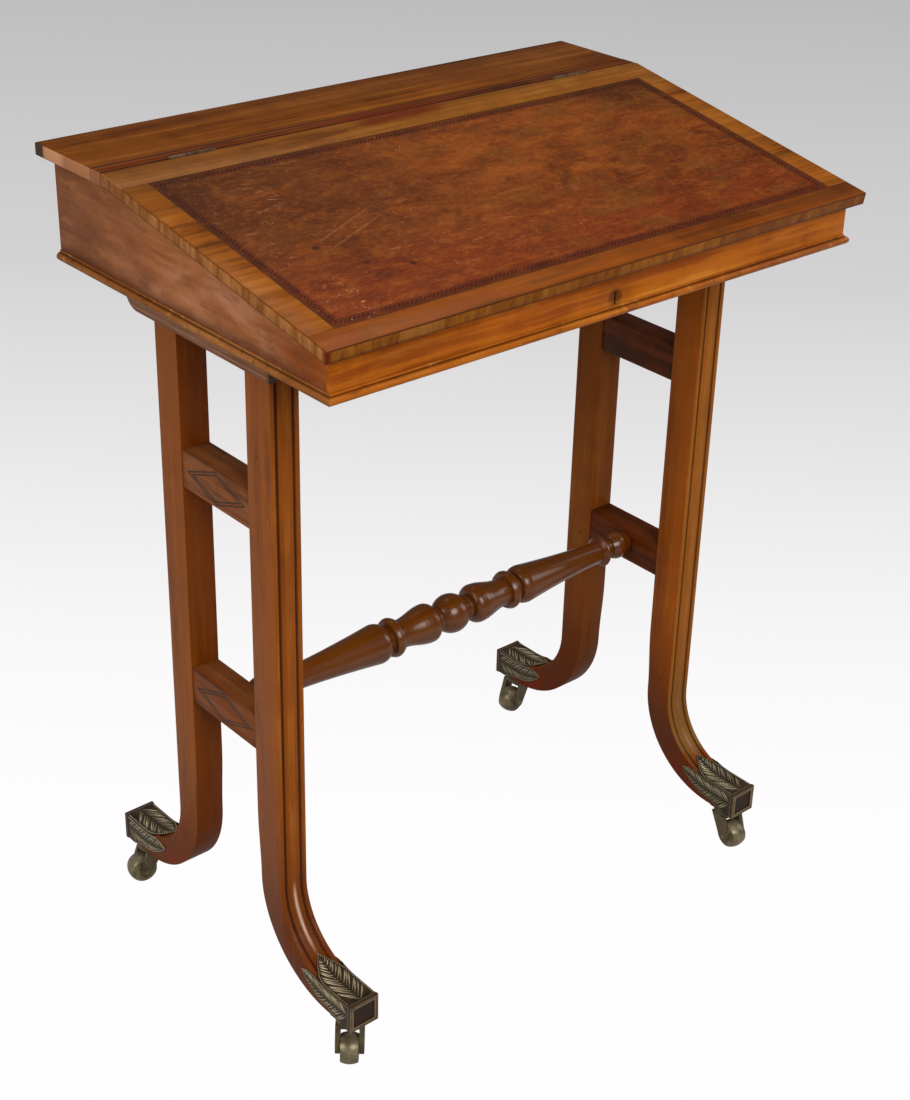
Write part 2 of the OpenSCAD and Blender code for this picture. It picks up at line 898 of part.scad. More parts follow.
// A diamond inset by w from the full one
module diamond(w) {
    a = diamond_l / 2;
    b = diamond_h / 2;
    k = w * sqrt(a * a + b * b) / (a * b);
    polygon([[a * (1 - k), 0], [0, b * (1 - k)], [-a * (1 - k), 0], [0, -b * (1 - k)]]);
}

// Two lines of inlay, from proud of the rail's face to the depth of the inlay
module stringing_lines(proud) {
    translate([-proud, 0, 0])
        rotate([90, 0, 90])
            linear_extrude(height = proud + line_t)
                for (w = [0, line_w + line_gap])
                    difference() {
                        diamond(w);
                        diamond(w + line_w);
                    }
}

module stringing(left) {
    color(inlay_wood)
        mirror([left ? 0 : 1, 0, 0])
            for (z = [upper_rail_z, lower_rail_z])
                translate([-x_mid - rail_w / 2, y_post0 + leg_d + rail_l / 2, z + rail_h / 2])
                    stringing_lines(0);
}

// Turned stretcher: radii and places are shares of its largest radius and half length

turn_half = x_mid - rail_w / 2;
// [place share, radius share] at each end of the turned members
ball_share = 0.067;
neck_r_share = 0.58;
ring_r_share = 0.64;
vase_foot_share = 0.095;
shoulder_share = 0.130;
waist_share = 0.268;
waist_r_share = 0.72;
disc_in_share = 0.290;
disc_out_share = 0.330;
disc_edge_share = 0.9;
groove_share = 0.352;
trumpet_edge_share = 0.72;
groove_r_share = 0.66;
trumpet_share = 0.395;
trumpet_end_share = 0.835;
trumpet_end_r_share = 0.58;
collar_share = 0.855;
collar_r_share = 0.84;
collar_w_share = 0.03;
neck2_share = 0.895;
neck2_r_share = 0.50;
bun_share = 0.945;
bun_r_share = 0.74;
bun_w_share = 0.04;
end_r_share = 0.56;
turn_steps = 8;

// Points of a bulge between two places, from one radius up to another and back
function bulge(x0, x1, r0, r1) = [for (i = [0 : turn_steps])
    let (t = i / turn_steps) [x0 + (x1 - x0) * t, r0 + (r1 - r0) * sin(180 * t)]];
// Points of a quarter ellipse that rises steeply and then levels out
function swell(x0, x1, r0, r1) = [for (i = [0 : turn_steps])
    let (a = 90 * i / turn_steps) [x0 + (x1 - x0) * (1 - cos(a)), r0 + (r1 - r0) * sin(a)]];
// Points of an S curve that is level at both ends
function ogee(x0, x1, r0, r1) = [for (i = [1 : turn_steps])
    let (t = i / turn_steps) [x0 + (x1 - x0) * t, r0 + (r1 - r0) * (1 - cos(180 * t)) / 2]];
// Points of a hollow taper that starts level
function taper(x0, x1, r0, r1, power) = [for (i = [1 : turn_steps])
    let (t = i / turn_steps) [x0 + (x1 - x0) * t, r1 + (r0 - r1) * pow(1 - t, power)]];
trumpet_power = 1.5;

// Half of the turning, from the middle to the rail, as shares
function turning_shares() = concat(
    [for (i = [0 : turn_steps])
        let (x = ball_share * i / turn_steps)
        [x, sqrt(1 - pow(x / ball_share, 2) * (1 - neck_r_share * neck_r_share))]],
    bulge(ball_share + (vase_foot_share - ball_share) / 4,
        vase_foot_share - (vase_foot_share - ball_share) / 4, neck_r_share, ring_r_share),
    [[vase_foot_share, neck_r_share]],
    swell(vase_foot_share, shoulder_share, ring_r_share, 1),
    ogee(shoulder_share, waist_share, 1, waist_r_share),
    [[disc_in_share, waist_r_share]],
    bulge(disc_in_share, disc_out_share, disc_edge_share, 1),
    [[disc_out_share, groove_r_share], [groove_share, groove_r_share]],
    swell(groove_share, trumpet_share, trumpet_edge_share, 1),
    taper(trumpet_share, trumpet_end_share, 1, trumpet_end_r_share, trumpet_power),
    bulge(collar_share - collar_w_share / 2, collar_share + collar_w_share / 2,
        trumpet_end_r_share, collar_r_share),
    ogee(collar_share + collar_w_share / 2, neck2_share, trumpet_end_r_share, neck2_r_share),
    [[bun_share - bun_w_share, neck2_r_share]],
    bulge(bun_share - bun_w_share, bun_share + bun_w_share, end_r_share, bun_r_share),
    [[1, end_r_share]]);

module turned_half() {
    pts = turning_shares();
    rotate([0, 90, 0])
        rotate_extrude()
            polygon(concat([[0, 0]], [for (p = pts) [p[1] * turn_r, p[0] * turn_half]], [[0, turn_half]]));
    translate([turn_half - over, 0, 0])
        rotate([0, 90, 0])
            cylinder(r = turn_tenon_r, h = turn_tenon_len + over);
}

module stretcher() {
    color(leg_wood)
        translate([0, y_post0 + leg_d + rail_l / 2, lower_rail_z + stretcher_rise])
            both_sides() turned_half();
}

// Castors, drawn for a leg whose face looks towards -Y

boss_r = 8;
boss_h = 5;
rivet_r = 5;
rivet_h = 1.5;
rivet_gap = 0.4;
socket_gap = 0.5;

// The pocket in the wooden toe for the cap's boss and the pin's riveted end
module pivot_socket() {
    translate([0, -pivot_u, toe_z - over])
        cylinder(r = boss_r + screw_gap, h = over + boss_h + rivet_gap + rivet_h + socket_gap);
}

tip_angle = 31;
full_angle = 6;
side_tip_angle = 30;
side_full_angle = 17;
side_tip_share = 0.58;
side_low_share = 0.21;
side_over_share = 1.2;
cap_half = leg_w / 2 + cap_t;
cap_plate_l = pivot_in + boss_r + cap_rim_w;
side_start = 17;
leaf_steps = 8;

// A point of the foot in side view: a turn back from the toe's straight part, and a share of
// the thickness above its underside
function foot_pt(a, share) = [foot_r - (foot_r + toe_t * (1 - share)) * sin(a),
    foot_z - (foot_r + toe_t * (1 - share)) * cos(a)];

// Side tongue: full height at the toe, drawn out to a point on the sweep
module side_tongue() {
    polygon(concat(
        [[foot_reach + over, cap_bottom - over], [foot_reach + over, foot_z],
            foot_pt(side_full_angle, side_over_share), foot_pt(side_full_angle, 1)],
        [for (i = [1 : leaf_steps])
            let (t = i / leaf_steps)
            foot_pt(side_full_angle + (side_tip_angle - side_full_angle) * t,
                side_tip_share + (1 - side_tip_share) * (1 - t * t))],
        [for (i = [leaf_steps - 1 : -1 : 0])
            let (t = i / leaf_steps)
            foot_pt(side_tip_angle * t, side_low_share + (side_tip_share - side_low_share) * t * t)],
        [[foot_reach - side_start, cap_bottom], [foot_reach - side_start, cap_bottom - over]]));
}

// Plan of the top tongue: full width at the toe, then drawn out to a point like a leaf
module top_tongue_plan() {
    u_full = foot_r - foot_r * sin(full_angle);
    u_tip = foot_r - foot_r * sin(tip_angle);
    polygon(concat(
        [[foot_reach + over, -leg_w], [u_full, -leg_w]],
        [for (i = [-leaf_steps : leaf_steps])
            let (t = i / leaf_steps)
            [u_tip + (u_full - u_tip) * abs(t), cap_half * sin(90 * t)]],
        [[u_full, leg_w], [foot_reach + over, leg_w]]));
}

// Side view of the cap's block, from its end to the tip of the top tongue
module cap_outline() {
    difference() {
        polygon([[foot_reach, cap_bottom], [foot_reach, toe_top + cap_t], [foot_r, toe_top + cap_t],
            [foot_r, foot_z], foot_pt(tip_angle, side_over_share), foot_pt(tip_angle, 0),
            [foot_reach - cap_plate_l, cap_bottom]]);
        translate([foot_r, foot_z]) circle(r = foot_r - cap_t, $fn = 128);
        translate([foot_r, toe_top + cap_t]) square([foot_reach, foot_r]);
    }
}

// Side view of the wood inside the cap, with the open part behind the bottom plate
module cap_core_outline() {
    difference() {
        union() {
            translate([0, toe_z]) square([wood_reach, foot_r]);
            translate([0, cap_bottom - over]) square([foot_reach - cap_plate_l, foot_r]);
        }
        translate([foot_r, foot_z]) circle(r = foot_r, $fn = 128);
        translate([foot_r, toe_top]) square([foot_reach, foot_r]);
    }
}

// Draws a side view across the leg's width
module across(half) {
    translate([0, half, 0])
        rotate([90, 0, 0])
            linear_extrude(height = 2 * half)
                children();
}

module toe_cap_body() {
    rotate([0, 0, -90])
        difference() {
            union() {
                across(cap_half) cap_outline();
                // Raised rim
                translate([foot_reach - cap_rim_w, -cap_half - cap_rim_t, cap_bottom - cap_rim_t])
                    cube([cap_rim_w, 2 * (cap_half + cap_rim_t), toe_t + 2 * (cap_t + cap_rim_t)]);
            }
            across(leg_w / 2) cap_core_outline();
            // Air beside the side tongues
            for (y = [leg_w / 2, -cap_half - over])
                translate([0, y, 0])
                    translate([0, cap_t + over, 0])
                        rotate([90, 0, 0])
                            linear_extrude(height = cap_t + over)
                                difference() {
                                    translate([0, cap_bottom - over]) square([foot_reach - cap_rim_w, foot_r]);
                                    side_tongue();
                                }
            // Air beside the top tongue's point
            translate([0, -leg_w / 2, toe_z])
                linear_extrude(height = foot_z)
                    difference() {
                        square([foot_reach - cap_rim_w, leg_w]);
                        translate([0, leg_w / 2]) top_tongue_plan();
                    }
            // Panel sunk in the end
            translate([foot_reach - cap_sink, cap_rim_w - cap_half, cap_bottom + cap_rim_w])
                cube([cap_sink + over, 2 * (cap_half - cap_rim_w), toe_t + 2 * (cap_t - cap_rim_w)]);
        }
}

module toe_cap(front, left) {
    color(old_brass)
        difference() {
            corner(front, left) {
                difference() {
                    union() {
                        toe_cap_body();
                        translate([0, -pivot_u, cap_bottom])
                            cylinder(r = boss_r, h = cap_t + boss_h);
                    }
                    translate([0, -pivot_u, cap_bottom - over])
                        cylinder(r = pivot_r + run_gap, h = cap_t + boss_h + 2 * over);
                }
            }
            cap_pin_places() cap_pin_cut();
        }
}

// Small brass pins through the side tongues
cap_pin_r = 0.9;
cap_pin_l = 8;
cap_pin_head_r = 1.5;
cap_pin_head_t = 0.7;
cap_pin_angle = 6.5;
cap_pin_rise_share = 0.6;
cap_pin_at = foot_pt(cap_pin_angle, cap_pin_rise_share);

module cap_pin_places() {
    for (front = [true, false])
        for (left = [true, false])
            corner(front, left)
                for (side = [0, 1])
                    mirror([side, 0, 0])
                        translate([leg_w / 2 + cap_t, -cap_pin_at[0], cap_pin_at[1]])
                            rotate([0, 90, 0])
                                children();
}

module cap_pin() {
    color(bright_brass) {
        translate([0, 0, -cap_pin_l])
            cylinder(r = cap_pin_r, h = cap_pin_l);
        cylinder(r1 = cap_pin_head_r, r2 = cap_pin_r, h = cap_pin_head_t);
    }
}

module cap_pin_cut() {
    translate([0, 0, -cap_pin_l - screw_gap])
        cylinder(r = cap_pin_r + screw_gap, h = cap_pin_l + 2 * over);
}

// Fork, axle and wheel stand at the swivel pin and trail towards -Y before they are turned
castor_yaws = [[-41, -6], [-101, -81]];
function castor_yaw(front, left) = castor_yaws[front ? 0 : 1][left ? 0 : 1];

module at_castor(front, left) {
    x = left ? -x_mid : x_mid;
    y = front ? y_post0 - pivot_u : y_post1 + pivot_u;
    translate([x, y, 0])
        rotate([0, 0, castor_yaw(front, left)])
            children();
}

cheek_r = 6;
crown_r = 9.5;
crown_t = 7;
crown_clear = 3;
// Point where a line from p touches the circle of radius r round c, on the side given by s
function touch_pt(p, c, r, s) =
    let (d = norm(p - c), a = atan2(p[1] - c[1], p[0] - c[0]), b = acos(r / d))
    c + r * [cos(a + s * b), sin(a + s * b)];

module cheek_outline() {
    hub = [trail, wheel_r];
    front_top = [crown_r, fork_top - crown_t];
    back_top = [-crown_r, fork_top - crown_t];
    translate(hub) circle(r = cheek_r);
    polygon([back_top, touch_pt(back_top, hub, cheek_r, 1), hub, touch_pt(front_top, hub, cheek_r, -1),
        front_top]);
}

module fork(front, left) {
    z_rivet = fork_top + fork_gap + cap_t + boss_h + rivet_gap;
    color(old_brass)
        at_castor(front, left) {
            difference() {
                union() {
                    rotate([90, 0, -90])
                        translate([0, 0, -fork_w / 2])
                            linear_extrude(height = fork_w)
                                cheek_outline();
                    translate([0, 0, fork_top - crown_t])
                        cylinder(r = fork_w / 2, h = crown_t);
                }
                // Round space of the wheel, open under the crown where the wheel trails
                translate([-wheel_w / 2 - wheel_gap, -trail, wheel_r])
                    rotate([0, 90, 0])
                        cylinder(r = wheel_r + crown_clear, h = wheel_w + 2 * wheel_gap);
                translate([-wheel_w / 2 - wheel_gap, -trail - wheel_r - crown_clear, -over])
                    cube([wheel_w + 2 * wheel_gap, wheel_r + crown_clear + cheek_r,
                        over + fork_top - crown_t]);
                translate([-fork_w / 2 - over, -trail, wheel_r])
                    rotate([0, 90, 0])
                        cylinder(r = axle_r, h = fork_w + 2 * over);
            }
            translate([0, 0, fork_top - over])
                cylinder(r = pivot_r, h = z_rivet - fork_top + 2 * over);
            translate([0, 0, z_rivet])
                cylinder(r = rivet_r, h = rivet_h);
        }
}

module axle(front, left) {
    color(bright_brass)
        at_castor(front, left)
            translate([-fork_w / 2, -trail, wheel_r])
                rotate([0, 90, 0])
                    cylinder(r = axle_r, h = fork_w);
}

module wheel(front, left) {
    // Radius of the barrel's arc, from its crown and half width
    arc_r = (pow(wheel_w / 2, 2) + pow(wheel_crown, 2)) / (2 * wheel_crown);
    color(bright_brass)
        at_castor(front, left)
            translate([0, -trail, wheel_r])
                rotate([0, 90, 0])
                    rotate_extrude()
                        intersection() {
                            translate([wheel_r - arc_r, 0]) circle(r = arc_r, $fn = 128);
                            translate([axle_r + run_gap, -wheel_w / 2]) square([wheel_r, wheel_w]);
                        }
}

// Case
mirror([1, 0, 0]) case_side();  // case_left_side
case_side();  // case_right_side
case_front();
case_back();
case_bottom();
moulding_front();
mirror([1, 0, 0]) moulding_side();  // moulding_left
moulding_side();  // moulding_right
top_board();
hinge_strip();

// Trestles and stretcher
bearer(true);  // left_bearer
leg(true, true);  // left_front_leg
leg(false, true);  // left_rear_leg
rail(upper_rail_z, true);  // left_upper_rail
rail(lower_rail_z, true);  // left_lower_rail
stringing(true);  // left_stringing
bearer(false);  // right_bearer
leg(true, false);  // right_front_leg
leg(false, false);  // right_rear_leg
rail(upper_rail_z, false);  // right_upper_rail
rail(lower_rail_z, false);  // right_lower_rail
stringing(false);  // right_stringing
stretcher();

// Castors
toe_cap(true, true);  // front_left_toe_cap
fork(true, true);  // front_left_fork
wheel(true, true);  // front_left_wheel
axle(true, true);  // front_left_axle
toe_cap(true, false);  // front_right_toe_cap
fork(true, false);  // front_right_fork
wheel(true, false);  // front_right_wheel
axle(true, false);  // front_right_axle
toe_cap(false, true);  // rear_left_toe_cap
fork(false, true);  // rear_left_fork
wheel(false, true);  // rear_left_wheel
axle(false, true);  // rear_left_axle
toe_cap(false, false);  // rear_right_toe_cap
fork(false, false);  // rear_right_fork
wheel(false, false);  // rear_right_wheel
axle(false, false);  // rear_right_axle
cap_pin_places() cap_pin();  // toe_cap_pins

// Hinges
mirror([1, 0, 0]) fixed_leaf();  // left_hinge_fixed_leaf
mirror([1, 0, 0]) lid_leaf();  // left_hinge_lid_leaf
fixed_leaf();  // right_hinge_fixed_leaf
lid_leaf();  // right_hinge_lid_leaf
both_sides() hinge_pin();  // hinge_pins
both_sides() fixed_screw_row() screw();  // fixed_hinge_screws
both_sides() lid_screw_row() screw();  // lid_hinge_screws

// Lid
lid_panel();
lid_front_banding();
lid_rear_banding();
mirror([1, 0, 0]) lid_side_banding();  // lid_left_banding
lid_side_banding();  // lid_right_banding
writing_leather();

// Lock and screws
lock_body();
lock_bolt();
lock_link_plate();
lock_staples();
lock_screw_places() screw();  // lock_screws
link_screw_places() screw();  // link_plate_screws
bearer_screw_places() screw();  // bearer_screws
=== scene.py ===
import json
import math

import bpy
from mathutils import Matrix, Vector


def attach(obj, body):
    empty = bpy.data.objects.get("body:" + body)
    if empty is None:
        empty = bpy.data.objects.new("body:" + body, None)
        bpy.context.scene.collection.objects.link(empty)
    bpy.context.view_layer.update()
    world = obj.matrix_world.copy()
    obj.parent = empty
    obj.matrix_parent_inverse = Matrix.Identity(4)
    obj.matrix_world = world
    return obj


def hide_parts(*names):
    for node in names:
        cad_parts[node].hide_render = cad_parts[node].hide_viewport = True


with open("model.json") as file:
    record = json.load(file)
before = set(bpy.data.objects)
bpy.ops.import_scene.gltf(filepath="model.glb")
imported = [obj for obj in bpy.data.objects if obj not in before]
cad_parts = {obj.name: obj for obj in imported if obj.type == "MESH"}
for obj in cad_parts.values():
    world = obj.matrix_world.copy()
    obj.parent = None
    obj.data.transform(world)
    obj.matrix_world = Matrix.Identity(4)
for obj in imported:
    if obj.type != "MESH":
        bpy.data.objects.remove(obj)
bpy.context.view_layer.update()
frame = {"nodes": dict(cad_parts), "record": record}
nodes = frame["nodes"]

# Sizes of the desk, in metres
TOP_WIDTH = 0.660
TOP_DEPTH = 0.440
TOP_Z = 0.843
TOP_THICK = 0.012
LID_FALL = 0.0585
BOARD_DEPTH = 0.0965
STRIP_DEPTH = 0.016
LAND_DEPTH = 0.0075
SIDE_BAND = 0.027
FRONT_BAND = 0.026
REAR_BAND = 0.028
CASE_HEIGHT = 0.100
MOULDING_HEIGHT = 0.010
BEARER_HEIGHT = 0.032
KEYHOLE_Z = 0.7485
LEG_X = 0.275
FRONT_FACE_Y = -0.0855
REAR_FACE_Y = 0.0955
LEG_WIDTH = 0.032
FOOT_RADIUS = 0.076
TOE_REACH = 0.112
TOE_UNDER_Z = 0.050
TOE_THICK = 0.0285
CAP_THICK = 0.001
CAP_RIM = 0.004
STRETCHER_Z = 0.3231

# Places that follow from them
END_X = TOP_WIDTH / 2
FRONT_Y = -TOP_DEPTH / 2
REAR_Y = TOP_DEPTH / 2
BOARD_Y = REAR_Y - BOARD_DEPTH
STRIP_Y = BOARD_Y - STRIP_DEPTH
LAND_Y = STRIP_Y - LAND_DEPTH
MIDDLE_Y = (FRONT_FACE_Y + REAR_FACE_Y) / 2
FOOT_CENTRE_Z = TOE_UNDER_Z + TOE_THICK + FOOT_RADIUS
CAP_TOP_Z = TOE_UNDER_Z + TOE_THICK + CAP_THICK
CAP_UNDER_Z = TOE_UNDER_Z - CAP_THICK
CAP_HALF = LEG_WIDTH / 2 + CAP_THICK
CAP_END = REAR_FACE_Y + TOE_REACH - MIDDLE_Y
SLOPE = math.atan2(LID_FALL, LAND_Y - FRONT_Y)
SLOPE_LENGTH = (LAND_Y - FRONT_Y) / math.cos(SLOPE)
LEATHER_X = END_X - SIDE_BAND
LID_TOP_Z = TOP_Z - LID_FALL
LID_UNDER_Z = LID_TOP_Z - TOP_THICK
CASE_UNDER_Z = TOP_Z - TOP_THICK - CASE_HEIGHT
MOULDING_TOP_Z = CASE_UNDER_Z + MOULDING_HEIGHT
BEARER_UNDER_Z = CASE_UNDER_Z - BEARER_HEIGHT


def linear(red, green, blue):
    """A colour given in ordinary 0 to 255 steps, as the renderer wants it."""
    steps = [value / 255 for value in (red, green, blue)]
    return tuple(v / 12.92 if v <= 0.04045 else ((v + 0.055) / 1.055) ** 2.4 for v in steps)


# Writing shaders as sums


def plug(tree, socket, value):
    """Joins a value to a socket, or sets it there if it is a plain number or colour."""
    if isinstance(value, Number):
        tree.links.new(value.socket, socket)
    elif isinstance(value, bpy.types.NodeSocket):
        tree.links.new(value, socket)
    elif isinstance(value, (tuple, list)) and len(value) == 3 and len(socket.default_value) == 4:
        socket.default_value = (*value, 1.0)
    else:
        socket.default_value = value


class Number:
    """A number that varies over a surface."""

    def __init__(self, tree, socket):
        self.tree = tree
        self.socket = socket

    def math(self, operation, *terms, clamp=False):
        node = self.tree.nodes.new("ShaderNodeMath")
        node.operation = operation
        node.use_clamp = clamp
        for socket, term in zip(node.inputs, terms):
            plug(self.tree, socket, term)
        return Number(self.tree, node.outputs[0])

    def __add__(self, other):
        return self.math("ADD", self, other)

    def __radd__(self, other):
        return self.math("ADD", other, self)

    def __sub__(self, other):
        return self.math("SUBTRACT", self, other)

    def __rsub__(self, other):
        return self.math("SUBTRACT", other, self)

    def __mul__(self, other):
        return self.math("MULTIPLY", self, other)

    def __rmul__(self, other):
        return self.math("MULTIPLY", other, self)

    def __pow__(self, other):
        return self.math("POWER", self, other)

    def __neg__(self):
        return self.math("SUBTRACT", 0.0, self)

    def size(self):
        return self.math("ABSOLUTE", self)

    def least(self, other):
        return self.math("MINIMUM", self, other)

    def most(self, other):
        return self.math("MAXIMUM", self, other)

    def wave(self):
        return self.math("SINE", self)

    def whole(self):
        return self.math("FLOOR", self)

    def below(self, other):
        """1 where it is less than the other, and 0 elsewhere."""
        return self.math("LESS_THAN", self, other)

    def held(self):
        """Kept between 0 and 1."""
        return self.math("ADD", self, 0.0, clamp=True)

    def rise(self, start, end):
        """0 up to start, 1 from end on, with a smooth rise between."""
        node = self.tree.nodes.new("ShaderNodeMapRange")
        node.interpolation_type = "SMOOTHSTEP"
        plug(self.tree, node.inputs["Value"], self)
        plug(self.tree, node.inputs["From Min"], start)
        plug(self.tree, node.inputs["From Max"], end)
        return Number(self.tree, node.outputs["Result"])

    def fall(self, start, end):
        """1 up to start, 0 from end on, with a smooth fall between."""
        return 1.0 - self.rise(start, end)

    def near(self, middle, reach):
        """1 at the middle value, falling to 0 at the reach on either side."""
        return (self - middle).size().fall(0.0, reach)

    def between(self, start, end, soft):
        """1 inside the two values, with soft edges."""
        return self.rise(start - soft, start + soft) * self.fall(end - soft, end + soft)


class Finish:
    """A material while it is being written, with the colour it has so far."""

    def __init__(self, name):
        self.material = bpy.data.materials.new(name)
        self.material.use_nodes = True
        self.tree = self.material.node_tree
        self.tree.nodes.clear()
        self.colour = None
        place = self.node("ShaderNodeTexCoord")
        split = self.node("ShaderNodeSeparateXYZ", values={"Vector": place.outputs["Object"]})
        self.x = Number(self.tree, split.outputs["X"])
        self.y = Number(self.tree, split.outputs["Y"])
        self.z = Number(self.tree, split.outputs["Z"])

    def node(self, kind, settings=None, values=None):
        made = self.tree.nodes.new(kind)
        for key, value in (settings or {}).items():
            setattr(made, key, value)
        for key, value in (values or {}).items():
            plug(self.tree, made.inputs[key], value)
        return made

    def point(self, x, y, z):
        return self.node("ShaderNodeCombineXYZ", values={"X": x, "Y": y, "Z": z}).outputs[0]

    def noise(self, x, y, z, detail=3.0, rough=0.55, twist=0.0):
        """Cloudy variation round a half, over the given coordinates."""
        made = self.node("ShaderNodeTexNoise", values={
            "Vector": self.point(x, y, z), "Scale": 1.0, "Detail": detail,
            "Roughness": rough, "Distortion": twist})
        return Number(self.tree, made.outputs[0])

    def cells(self, x, y, z):
        """Distance to the nearest of scattered points."""
        made = self.node("ShaderNodeTexVoronoi", {"feature": "F1"}, {
            "Vector": self.point(x, y, z), "Scale": 1.0, "Randomness": 1.0})
        return Number(self.tree, made.outputs["Distance"])

    def scatter(self, x, y, z):
        """A random number for each whole step of the coordinates."""
        made = self.node("ShaderNodeTexWhiteNoise", {"noise_dimensions": "3D"}, {
            "Vector": self.point(x, y, z)})
        return Number(self.tree, made.outputs["Value"])

    def facing(self):
        """The surface's own direction as three numbers."""
        geometry = self.node("ShaderNodeNewGeometry")
        split = self.node("ShaderNodeSeparateXYZ", values={"Vector": geometry.outputs["Normal"]})
        return [Number(self.tree, split.outputs[axis]) for axis in ("X", "Y", "Z")]

    def own(self, name):
        """A number that the mesh itself carries at its corners."""
        made = self.node("ShaderNodeAttribute", {"attribute_name": name})
        return Number(self.tree, made.outputs["Fac"])

    def blend(self, share, first, second):
        """One colour turned into another by a share of 0 to 1."""
        made = self.node("ShaderNodeMix", {"data_type": "RGBA", "blend_type": "MIX"})
        plug(self.tree, made.inputs["Factor"], share)
        plug(self.tree, made.inputs[6], first)
        plug(self.tree, made.inputs[7], second)
        return made.outputs[2]

    def turn(self, share, colour):
        """Turns the colour so far toward another one, which may vary too."""
        self.colour = self.blend(share, self.colour, colour)

    def lay(self, share, red, green, blue):
        """Lays an ordinary colour over the colour so far."""
        self.turn(share, linear(red, green, blue))

    def surface(self, roughness, height, depth, metal=0.0, coat=0.0, coat_roughness=0.25,
                specular=0.5):
        """Closes the recipe: its shine, and fine relief of the given depth in metres."""
        shader = self.node("ShaderNodeBsdfPrincipled", values={
            "Base Color": self.colour, "Roughness": roughness, "Metallic": metal,
            "Coat Weight": coat, "Coat Roughness": coat_roughness,
            "Specular IOR Level": specular})
        bump = self.node("ShaderNodeBump", values={
            "Height": height, "Distance": depth, "Strength": 1.0})
        self.tree.links.new(bump.outputs[0], shader.inputs["Normal"])
        self.close(shader)
        return self.material

    def close(self, shader):
        """Makes a shader the material's surface."""
        output = self.node("ShaderNodeOutputMaterial")
        self.tree.links.new(shader.outputs[0], output.inputs["Surface"])


# Wood


def deeper(colour, share):
    """A darker colour of the same hue."""
    return tuple(value * share for value in colour)


def wood(name, run, dark, mid, light, seed, figure=1.0, gloss=0.36, coat=0.03, polish=0.2,
         painted_sheen=0.0, marks=None):
    """Old polished hardwood with its grain along x, y or z, and marks of its own on top."""
    dark, mid, light = linear(*dark), linear(*mid), linear(*light)
    f = Finish(name)
    shift = seed * 3.7
    x, y, z = f.x, f.y, f.z
    along, across, through = {"x": (x, y, z), "y": (y, z, x), "z": (z, x, y)}[run]
    sway = (f.noise(along * 4.0 + shift, across * 11.0, through * 11.0, 2.0) - 0.5) * 0.0084
    across = across + sway
    through = through + sway
    broad = f.noise(along * 2.2 + shift, across * 26.0, through * 26.0, 3.0, 0.6, 0.24)
    lines = f.noise(along * 5.0 + shift, across * 190.0, through * 190.0, 4.0, 0.66)
    fine = f.noise(along * 26.0 + shift, across * 1100.0, through * 1100.0, 2.0, 0.5)
    flame = f.noise(along * 40.0 + shift, across * 14.0, through * 14.0, 2.0, 0.5)
    blotch = f.noise(x * 13.0 + shift, y * 13.0, z * 13.0, 4.0, 0.62)
    tone = ((broad - 0.5) * 1.2 * figure + (lines - 0.5) * (0.30 + 0.50 * figure)
            + (flame - 0.5) * 0.26 * figure + (blotch - 0.5) * 0.46 + 0.5)
    f.colour = f.blend(tone.rise(0.22, 0.52), dark, mid)
    f.turn(tone.rise(0.50, 0.84), light)
    pores = fine.rise(0.60, 0.74) * 0.32
    f.turn(pores, deeper(dark, 0.42))
    grime = blotch.rise(0.55, 0.80)
    f.turn(grime * 0.30, deeper(dark, 0.5))
    warm = f.noise(x * 8.0, y * 8.0 + shift, z * 8.0, 3.0, 0.6).rise(0.52, 0.72)
    f.turn(warm * 0.16, (mid[0] * 1.05, mid[1] * 0.62, mid[2] * 0.5))
    if marks is not None:
        marks(f)
    # A pale, clouded painted sheen laid over the whole piece
    if painted_sheen > 0.0:
        cloud = f.noise(x * 6.0 + 3.0, y * 6.0, z * 6.0 + shift, 3.0).rise(0.30, 0.70)
        f.lay((0.4 + cloud * 0.6) * painted_sheen, 186, 148, 132)
    rough = gloss + (lines - 0.5) * 0.16 + grime * 0.12
    height = lines * 0.35 - pores * 1.2 + broad * 0.3
    return f.surface(rough, height, 0.00022, coat=coat, coat_roughness=polish, specular=0.06)


def distance(across, along):
    """How far a place is from a centre, from its distances along two axes."""
    return (across * across + along * along) ** 0.5


def ends_of(f):
    """The end faces of the boards that run the full width of the top."""
    return f.x.size().rise(END_X - 0.0008, END_X - 0.0001)


